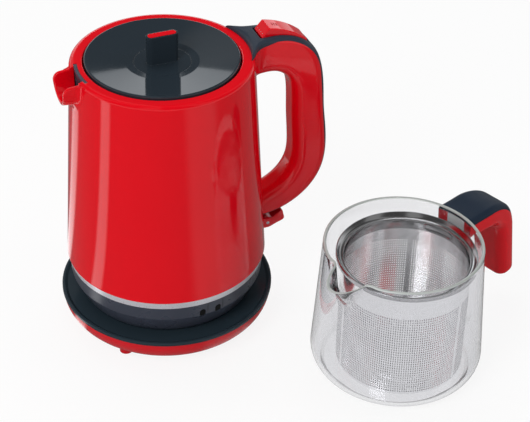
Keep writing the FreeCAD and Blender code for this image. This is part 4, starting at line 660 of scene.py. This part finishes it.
class TEAMAKER_OT_infuser(bpy.types.Operator):
    """Punch the wall and the bottom of the infuser and roll its rim"""
    bl_idname = "teamaker.infuser"
    bl_label = "Infuser"

    def execute(self, context):
        size = context.scene.teamaker_infuser
        axis = axis_of("infuser_mesh")
        low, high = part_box("infuser_mesh")
        radius = (high.x - low.x) / 2
        self.punch_wall(size, axis, low.z, high.z, radius)
        self.punch_bottom(size, axis)
        self.roll_rim(size, axis, radius)
        return {"FINISHED"}

    def roll_rim(self, size, axis, wall):
        """Flared rim with its bead, its skirt inside the wall and the raised loop on the skirt."""
        low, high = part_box("infuser_rim")
        edge, top = (high.x - low.x) / 2, high.z
        outer = wall - size.sheet - SEAT_GAP
        inner = outer - size.skirt_wall
        foot = top - size.skirt
        section = [(outer, foot), (outer, top - NECK_DROP), (wall + FLARE_REACH, top - FLARE_DROP),
                   (edge - EDGE_BEVEL, top - UNDERSIDE_DROP), (edge, top - EDGE_DROP), (edge, top - RIM_LIP)]
        section += arc((edge - RIM_LIP, top - RIM_LIP), RIM_LIP, 0, RIM_LIP_END, RIM_LIP_STEPS)
        section += [(edge - GROOVE_REACH, top - GROOVE_DROP), (edge - SLOPE_REACH, top - SLOPE_DROP)]
        section += arc((inner + ROLL_REACH, top - ROLL_DROP), ROLL_RADIUS, ROLL_START, ROLL_END, ROLL_STEPS)
        section += [(inner, top - SKIRT_DROP), (inner, foot)]
        vertices, faces = turned_ring(section, axis, RIM_STEPS)
        path = loop_path(size, axis, inner, top - LOOP_DROP)
        sweep(path, axis, size.loop_wire, vertices, faces)
        rim = add_piece("infuser_rim_rolled", vertices, faces, "infuser_rim", "polished_steel")
        crease(rim, RIM_CREASE)
        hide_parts("infuser_rim")

    def punch_wall(self, size, axis, low, high, radius):
        """Wall with rows of upright slots between plain strips, a plain band and a plain foot."""
        count = round(2 * math.pi * radius / size.pitch)
        rows = int((high - size.band - low - size.margin) / size.rise)
        turn = 2 * math.pi / count
        open_turn = turn * size.hole / size.pitch
        columns = hole_lines(size.strip_turn, turn, open_turn, count)
        levels = [low] + hole_lines(low + size.margin, size.rise, size.slot, rows) + [high]
        plain = {(strip * count // size.strips + step) % count
                 for strip in range(size.strips) for step in range(size.strip_holes)}

        def place(column, row, side):
            reach = radius - side * size.sheet
            return axis + Vector((reach * math.cos(column), reach * math.sin(column), row))

        def holes(column, row):
            between = column % 2 == 0 and row % 2 == 1 and row < len(levels) - 2
            return between and column // 2 not in plain

        wall = punched("infuser_wall_punched", columns, levels, place, holes,
                       "infuser_mesh", "mesh_steel")
        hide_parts("infuser_mesh")

    def punch_bottom(self, size, axis):
        """Disc with rings of holes round its plain middle."""
        low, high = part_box("infuser_bottom")
        edge = (high.x - low.x) / 2
        rings = int((edge - BOTTOM_EDGE - size.disc) / size.pitch)
        count = round(2 * math.pi * (size.disc + edge) / 2 / size.pitch)
        turn = 2 * math.pi / count
        columns = hole_lines(0, turn, turn * size.hole / size.pitch, count)
        reaches = [BOTTOM_MIDDLE, *hole_lines(size.disc, size.pitch, size.hole, rings), edge - SEAT_GAP]

        def place(column, reach, side):
            level = low.z + side * size.sheet
            return axis + Vector((reach * math.cos(column), reach * math.sin(column), level))

        def holes(column, row):
            return column % 2 == 0 and row % 2 == 1 and row < len(reaches) - 2

        bottom = punched("infuser_bottom_punched", columns, reaches, place, holes,
                         "infuser_bottom", "mesh_steel")
        bottom.data.flip_normals()
        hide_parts("infuser_bottom")


def surface_spot(node, start, ahead):
    """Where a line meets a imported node, and the way the surface faces there."""
    mesh = frame["nodes"][node].data
    tree = BVHTree.FromPolygons([vertex.co for vertex in mesh.vertices],
                                [face.vertices for face in mesh.polygons])
    place, normal, _, _ = tree.ray_cast(Vector(start), Vector(ahead))
    if place is None:
        raise RuntimeError(f"no surface of {node} there")
    return place, normal


def inset_plate(place, normal, along, size, proud, vertices, faces):
    """Add a small plate with rounded corners that stands a little proud of a surface."""
    along = (along - normal * along.dot(normal)).normalized()
    across = normal.cross(along)
    corner = min(size) / 2 * CORNER_SHARE
    outline = []
    for quarter, (side, end) in enumerate(((1, 1), (-1, 1), (-1, -1), (1, -1))):
        for step in range(CORNER_STEPS + 1):
            turn = math.pi / 2 * (quarter + step / CORNER_STEPS)
            outline.append((side * (size[0] / 2 - corner) + corner * math.cos(turn),
                            end * (size[1] / 2 - corner) + corner * math.sin(turn)))
    first, count = len(vertices), len(outline)
    foot, shoulder, top = (1.0, -3 * proud), (1.0, proud * 0.5), (0.9, proud)
    for scale, level in (foot, shoulder, top):
        vertices += [place + along * (u * scale) + across * (v * scale) + normal * level
                     for u, v in outline]
    for row in range(2):
        for index in range(count):
            following = (index + 1) % count
            near, far = first + row * count, first + (row + 1) * count
            faces.append((near + index, near + following, far + following, far + index))
    faces.append([first + 2 * count + index for index in range(count)])
    faces.append([first + index for index in reversed(range(count))])


class TEAMAKER_OT_rocker(bpy.types.Operator):
    """Set the level marks into the rocker's top and a row of small grey dots into its front"""
    bl_idname = "teamaker.rocker"
    bl_label = "Rocker marks and lamps"

    def execute(self, context):
        size = context.scene.teamaker_rocker
        axis = axis_of("silver_ring")
        low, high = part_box("rocker_button")
        wide, top = (high.y - low.y) * GREY_DOT_ROOM, high.z
        down, inward, sideways = Vector((0, 0, -1)), Vector((1, 0, 0)), Vector((0, 1, 0))
        vertices, faces = [], []
        for step in range(size.marks):
            start = Vector((low.x + size.mark_inset + step * size.mark_step, axis.y, top + OUTSIDE))
            place, normal = surface_spot("rocker_button", start, down)
            inset_plate(place, normal, sideways, (size.mark, size.mark_width), MARK_PROUD, vertices, faces)
        marks = add_piece("rocker_marks", vertices, faces, "rocker_button", "red_moulding")
        marks.data.materials[0] = bpy.data.materials["mark_red" + FINISH]
        vertices, faces = [], []
        # A row of small grey dots in the rocker's front
        for step in range(size.lamps):
            beside = (step + 0.5) / size.lamps - 0.5
            start = Vector((low.x - OUTSIDE, axis.y + beside * wide, top - size.grey_dot_drop))
            place, normal = surface_spot("rocker_button", start, inward)
            inset_plate(place, normal, sideways, (size.lamp, size.lamp), GREY_DOT_PROUD, vertices, faces)
        add_piece("rocker_lamps", vertices, faces, "rocker_button", "silicone")
        return {"FINISHED"}


class TEAMAKER_OT_ring(bpy.types.Operator):
    """Lay thin dark strips along the seams beside the windows in the kettle's lower ring: painted shade of
    the seam gaps
    """
    bl_idname = "teamaker.ring"
    bl_label = "Ring seams"

    def execute(self, context):
        size = context.scene.teamaker_rocker
        axis = axis_of("silver_ring")
        low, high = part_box("kettle_base_ring")
        reach = (high.x - low.x) / 2
        vertices, faces = [], []
        part = size.seam_height / size.seam_steps
        for along in (size.first_seam, size.second_seam):
            for step in range(size.seam_steps):
                level = high.z - size.seam_drop - part * (step + 0.5)
                start = Vector((axis.x + along, axis.y - reach - OUTSIDE, level))
                place, normal = surface_spot("kettle_base_ring", start, Vector((0, 1, 0)))
                inset_plate(place, normal, Vector((0, 0, 1)), (part * SEAM_OVERLAP, size.seam),
                            SEAM_PROUD, vertices, faces)
        # Black strips standing proud of the ring: painted shade of the seam gaps
        add_piece("ring_seams", vertices, faces, "kettle_base_ring", "black_rubber")
        return {"FINISHED"}


# Stage

def lamp(box, place, target, watts):
    """Hang a soft box at a place, turned to the target."""
    light = bpy.data.lights.new(box.name, "AREA")
    light.shape = "RECTANGLE"
    light.size, light.size_y = box.size
    light.energy = watts
    light.color = box.tone
    item = bpy.data.objects.new(box.name, light)
    item.location = place
    item.visible_glossy = box.mirrored
    item.rotation_euler = (target - place).to_track_quat("-Z", "Y").to_euler()
    bpy.context.collection.objects.link(item)


def join(material, operation, first, second):
    """A sum, product or the like of two sockets or numbers."""
    nodes, links = material.node_tree.nodes, material.node_tree.links
    step = nodes.new("ShaderNodeMath")
    step.operation = operation
    for index, value in enumerate((first, second)):
        if isinstance(value, (int, float)):
            step.inputs[index].default_value = value
        else:
            links.new(value, step.inputs[index])
    return step.outputs["Value"]


def ranged(material, value, low, high, start, end):
    """Pass smoothly from one number to another as a value goes from low to high."""
    nodes, links = material.node_tree.nodes, material.node_tree.links
    step = nodes.new("ShaderNodeMapRange")
    step.interpolation_type = "SMOOTHSTEP"
    step.inputs["From Min"].default_value = low
    step.inputs["From Max"].default_value = high
    step.inputs["To Min"].default_value = start
    step.inputs["To Max"].default_value = end
    links.new(value, step.inputs["Value"])
    return step.outputs["Result"]


def card_light(material, stage, axis):
    """Brightness of the floor in reflections: a dim floor with glowing cards laid round the kettle, painted
    reflections on the glossy pieces.
    """
    nodes, links = material.node_tree.nodes, material.node_tree.links
    place = nodes.new("ShaderNodeSeparateXYZ")
    links.new(nodes.new("ShaderNodeTexCoord").outputs["Object"], place.inputs["Vector"])
    along = join(material, "SUBTRACT", place.outputs["X"], axis.x)
    across = join(material, "SUBTRACT", place.outputs["Y"], axis.y)
    total = stage.dim_floor
    for card in REFLECTION_GLOW_CARDS:
        middle, edge = math.radians(card.direction), math.radians(card.half_width)
        cosine, sine = math.cos(middle), math.sin(middle)
        ahead = join(material, "ADD", join(material, "MULTIPLY", along, cosine),
                     join(material, "MULTIPLY", across, sine))
        beside = join(material, "ADD", join(material, "MULTIPLY", along, -sine),
                      join(material, "MULTIPLY", across, cosine))
        turn = join(material, "ABSOLUTE", join(material, "ARCTAN2", beside, ahead), 0)
        card_glow = ranged(material, turn, edge * 0.5, edge, card.brightness, 0.0)
        total = join(material, "ADD", card_glow, total)
    return total


def make_floor(stage, axis):
    """Pale floor that keeps the shadow."""
    mesh = bpy.data.meshes.new("floor")
    half = stage.floor_size / 2
    corners = [(-half, -half, 0), (half, -half, 0), (half, half, 0), (-half, half, 0)]
    mesh.from_pydata(corners, [], [(0, 1, 2, 3)])
    floor = bpy.data.objects.new("floor", mesh)
    bpy.context.collection.objects.link(floor)
    material, shader, _ = new_material("studio_floor")
    nodes, links = material.node_tree.nodes, material.node_tree.links
    shader.inputs["Base Color"].default_value = (FLOOR_TONE, FLOOR_TONE, FLOOR_TONE, 1)
    shader.inputs["Roughness"].default_value = FLOOR_ROUGHNESS
    shader.inputs["Specular IOR Level"].default_value = 0.0
    path = nodes.new("ShaderNodeLightPath").outputs
    looked = join(material, "MAXIMUM", path["Is Camera Ray"], path["Is Transmission Ray"])
    # In reflections the floor glows with the dim floor and the cards instead of its own shading: painted
    # reflections
    mirrored = join(material, "MULTIPLY", path["Is Glossy Ray"],
                    join(material, "SUBTRACT", 1.0, path["Is Transmission Ray"]))
    light = join(material, "MULTIPLY", mirrored, card_light(material, stage, axis))
    glow = nodes.new("ShaderNodeEmission")
    links.new(join(material, "MAXIMUM", looked, light), glow.inputs["Strength"])
    mix = nodes.new("ShaderNodeMixShader")
    links.new(join(material, "MAXIMUM", join(material, "MULTIPLY", looked, stage.floor_glow), mirrored),
              mix.inputs["Fac"])
    links.new(shader.outputs["BSDF"], mix.inputs[1])
    links.new(glow.outputs["Emission"], mix.inputs[2])
    links.new(mix.outputs["Shader"], nodes["Material Output"].inputs["Surface"])
    mesh.materials.append(material)


def make_world(stage):
    """White at the horizon and a grey ceiling for rays that look, and an even light for the rest."""
    world = bpy.data.worlds.new("studio")
    bpy.context.scene.world = world
    world.use_nodes = True
    nodes, links = world.node_tree.nodes, world.node_tree.links
    ambient = nodes["Background"]
    ambient.inputs["Color"].default_value = (1, 1, 1, 1)
    ambient.inputs["Strength"].default_value = stage.ambient
    white = nodes.new("ShaderNodeBackground")
    white.inputs["Color"].default_value = (1, 1, 1, 1)
    direction = nodes.new("ShaderNodeTexCoord")
    parts = nodes.new("ShaderNodeSeparateXYZ")
    links.new(direction.outputs["Generated"], parts.inputs["Vector"])
    path = nodes.new("ShaderNodeLightPath").outputs
    turn = join(world, "ARCTAN2", parts.outputs["Y"], parts.outputs["X"])
    wave = join(world, "SINE", join(world, "MULTIPLY", turn, stage.panels), 0)
    panel = ranged(world, wave, *PANEL_EDGE, stage.ceiling, stage.panel)
    ceiling = nodes.new("ShaderNodeMix")
    ceiling.inputs["B"].default_value = stage.clear_ceiling
    links.new(path["Is Transmission Ray"], ceiling.inputs["Factor"])
    links.new(panel, ceiling.inputs["A"])
    fall = ranged(world, parts.outputs["Z"], *HORIZON, 1.0, 0.0)
    links.new(ceiling.outputs["Result"], fall.node.inputs["To Max"])
    links.new(fall, white.inputs["Strength"])
    mix = nodes.new("ShaderNodeMixShader")
    seen = join(world, "MAXIMUM", join(world, "MAXIMUM", path["Is Camera Ray"], path["Is Glossy Ray"]),
                path["Is Transmission Ray"])
    links.new(seen, mix.inputs["Fac"])
    links.new(ambient.outputs["Background"], mix.inputs[1])
    links.new(white.outputs["Background"], mix.inputs[2])
    links.new(mix.outputs["Shader"], nodes["World Output"].inputs["Surface"])


def make_camera(stage, axis):
    """Camera from its place, heading, tilt and roll."""
    data = bpy.data.cameras.new("camera")
    data.sensor_width = SENSOR_WIDTH
    data.lens = stage.lens
    data.clip_start, data.clip_end = CLIP_START, CLIP_END
    camera = bpy.data.objects.new("camera", data)
    bpy.context.collection.objects.link(camera)
    ahead = Vector((math.sin(stage.heading) * math.cos(stage.tilt),
                    math.cos(stage.heading) * math.cos(stage.tilt), -math.sin(stage.tilt)))
    side = Vector((math.cos(stage.heading), -math.sin(stage.heading), 0))
    up = side.cross(ahead)
    right = side * math.cos(stage.roll) + up * math.sin(stage.roll)
    top = up * math.cos(stage.roll) - side * math.sin(stage.roll)
    turn = Matrix((right, top, -ahead)).transposed()
    camera.matrix_world = Matrix.Translation(axis + Vector(stage.eye)) @ turn.to_4x4()
    bpy.context.scene.camera = camera


class TEAMAKER_OT_stage(bpy.types.Operator):
    """Set up the camera, the lamps, the floor and the white surroundings"""
    bl_idname = "teamaker.stage"
    bl_label = "Stage"

    def execute(self, context):
        stage = context.scene.teamaker_stage
        axis = axis_of("silver_ring")
        make_camera(stage, axis)
        make_floor(stage, axis)
        make_world(stage)
        aim = axis + Vector((0, 0, AIM_HEIGHT))
        for box in SOFT_BOXES:
            lamp(box, axis + Vector(box.place), aim, getattr(stage, box.power))
        context.scene.view_settings.view_transform = "Standard"
        return {"FINISHED"}


class TEAMAKER_PT_panel(bpy.types.Panel):
    """Sizes, colours and steps of the tea maker set"""
    bl_idname = "TEAMAKER_PT_panel"
    bl_label = "Tea maker"
    bl_space_type = "VIEW_3D"
    bl_region_type = "UI"
    bl_category = "Tea maker"

    def draw(self, context):
        for name in GROUPS:
            column = self.layout.column(align=True)
            group = getattr(context.scene, name)
            for field in group.__annotations__:
                column.prop(group, field)
        for step in STEPS:
            self.layout.operator(step.bl_idname)


GROUPS = {
    "teamaker_colours": TEAMAKER_PG_colours,
    "teamaker_glass": TEAMAKER_PG_glass,
    "teamaker_infuser": TEAMAKER_PG_infuser,
    "teamaker_rocker": TEAMAKER_PG_rocker,
    "teamaker_stage": TEAMAKER_PG_stage,
}
STEPS = (TEAMAKER_OT_finishes, TEAMAKER_OT_glass_pot, TEAMAKER_OT_infuser, TEAMAKER_OT_rocker,
         TEAMAKER_OT_ring, TEAMAKER_OT_stage)
CLASSES = (*GROUPS.values(), *STEPS, TEAMAKER_PT_panel)


def register():
    for item in CLASSES:
        bpy.utils.register_class(item)
    for name, group in GROUPS.items():
        setattr(bpy.types.Scene, name, PointerProperty(type=group))


def unregister():
    for name in GROUPS:
        delattr(bpy.types.Scene, name)
    for item in reversed(CLASSES):
        bpy.utils.unregister_class(item)


def main():
    """Register the classes and run every step in order."""
    register()
    for step in STEPS:
        group, name = step.bl_idname.split(".")
        getattr(getattr(bpy.ops, group), name)()


if __name__ == "__main__":
    main()
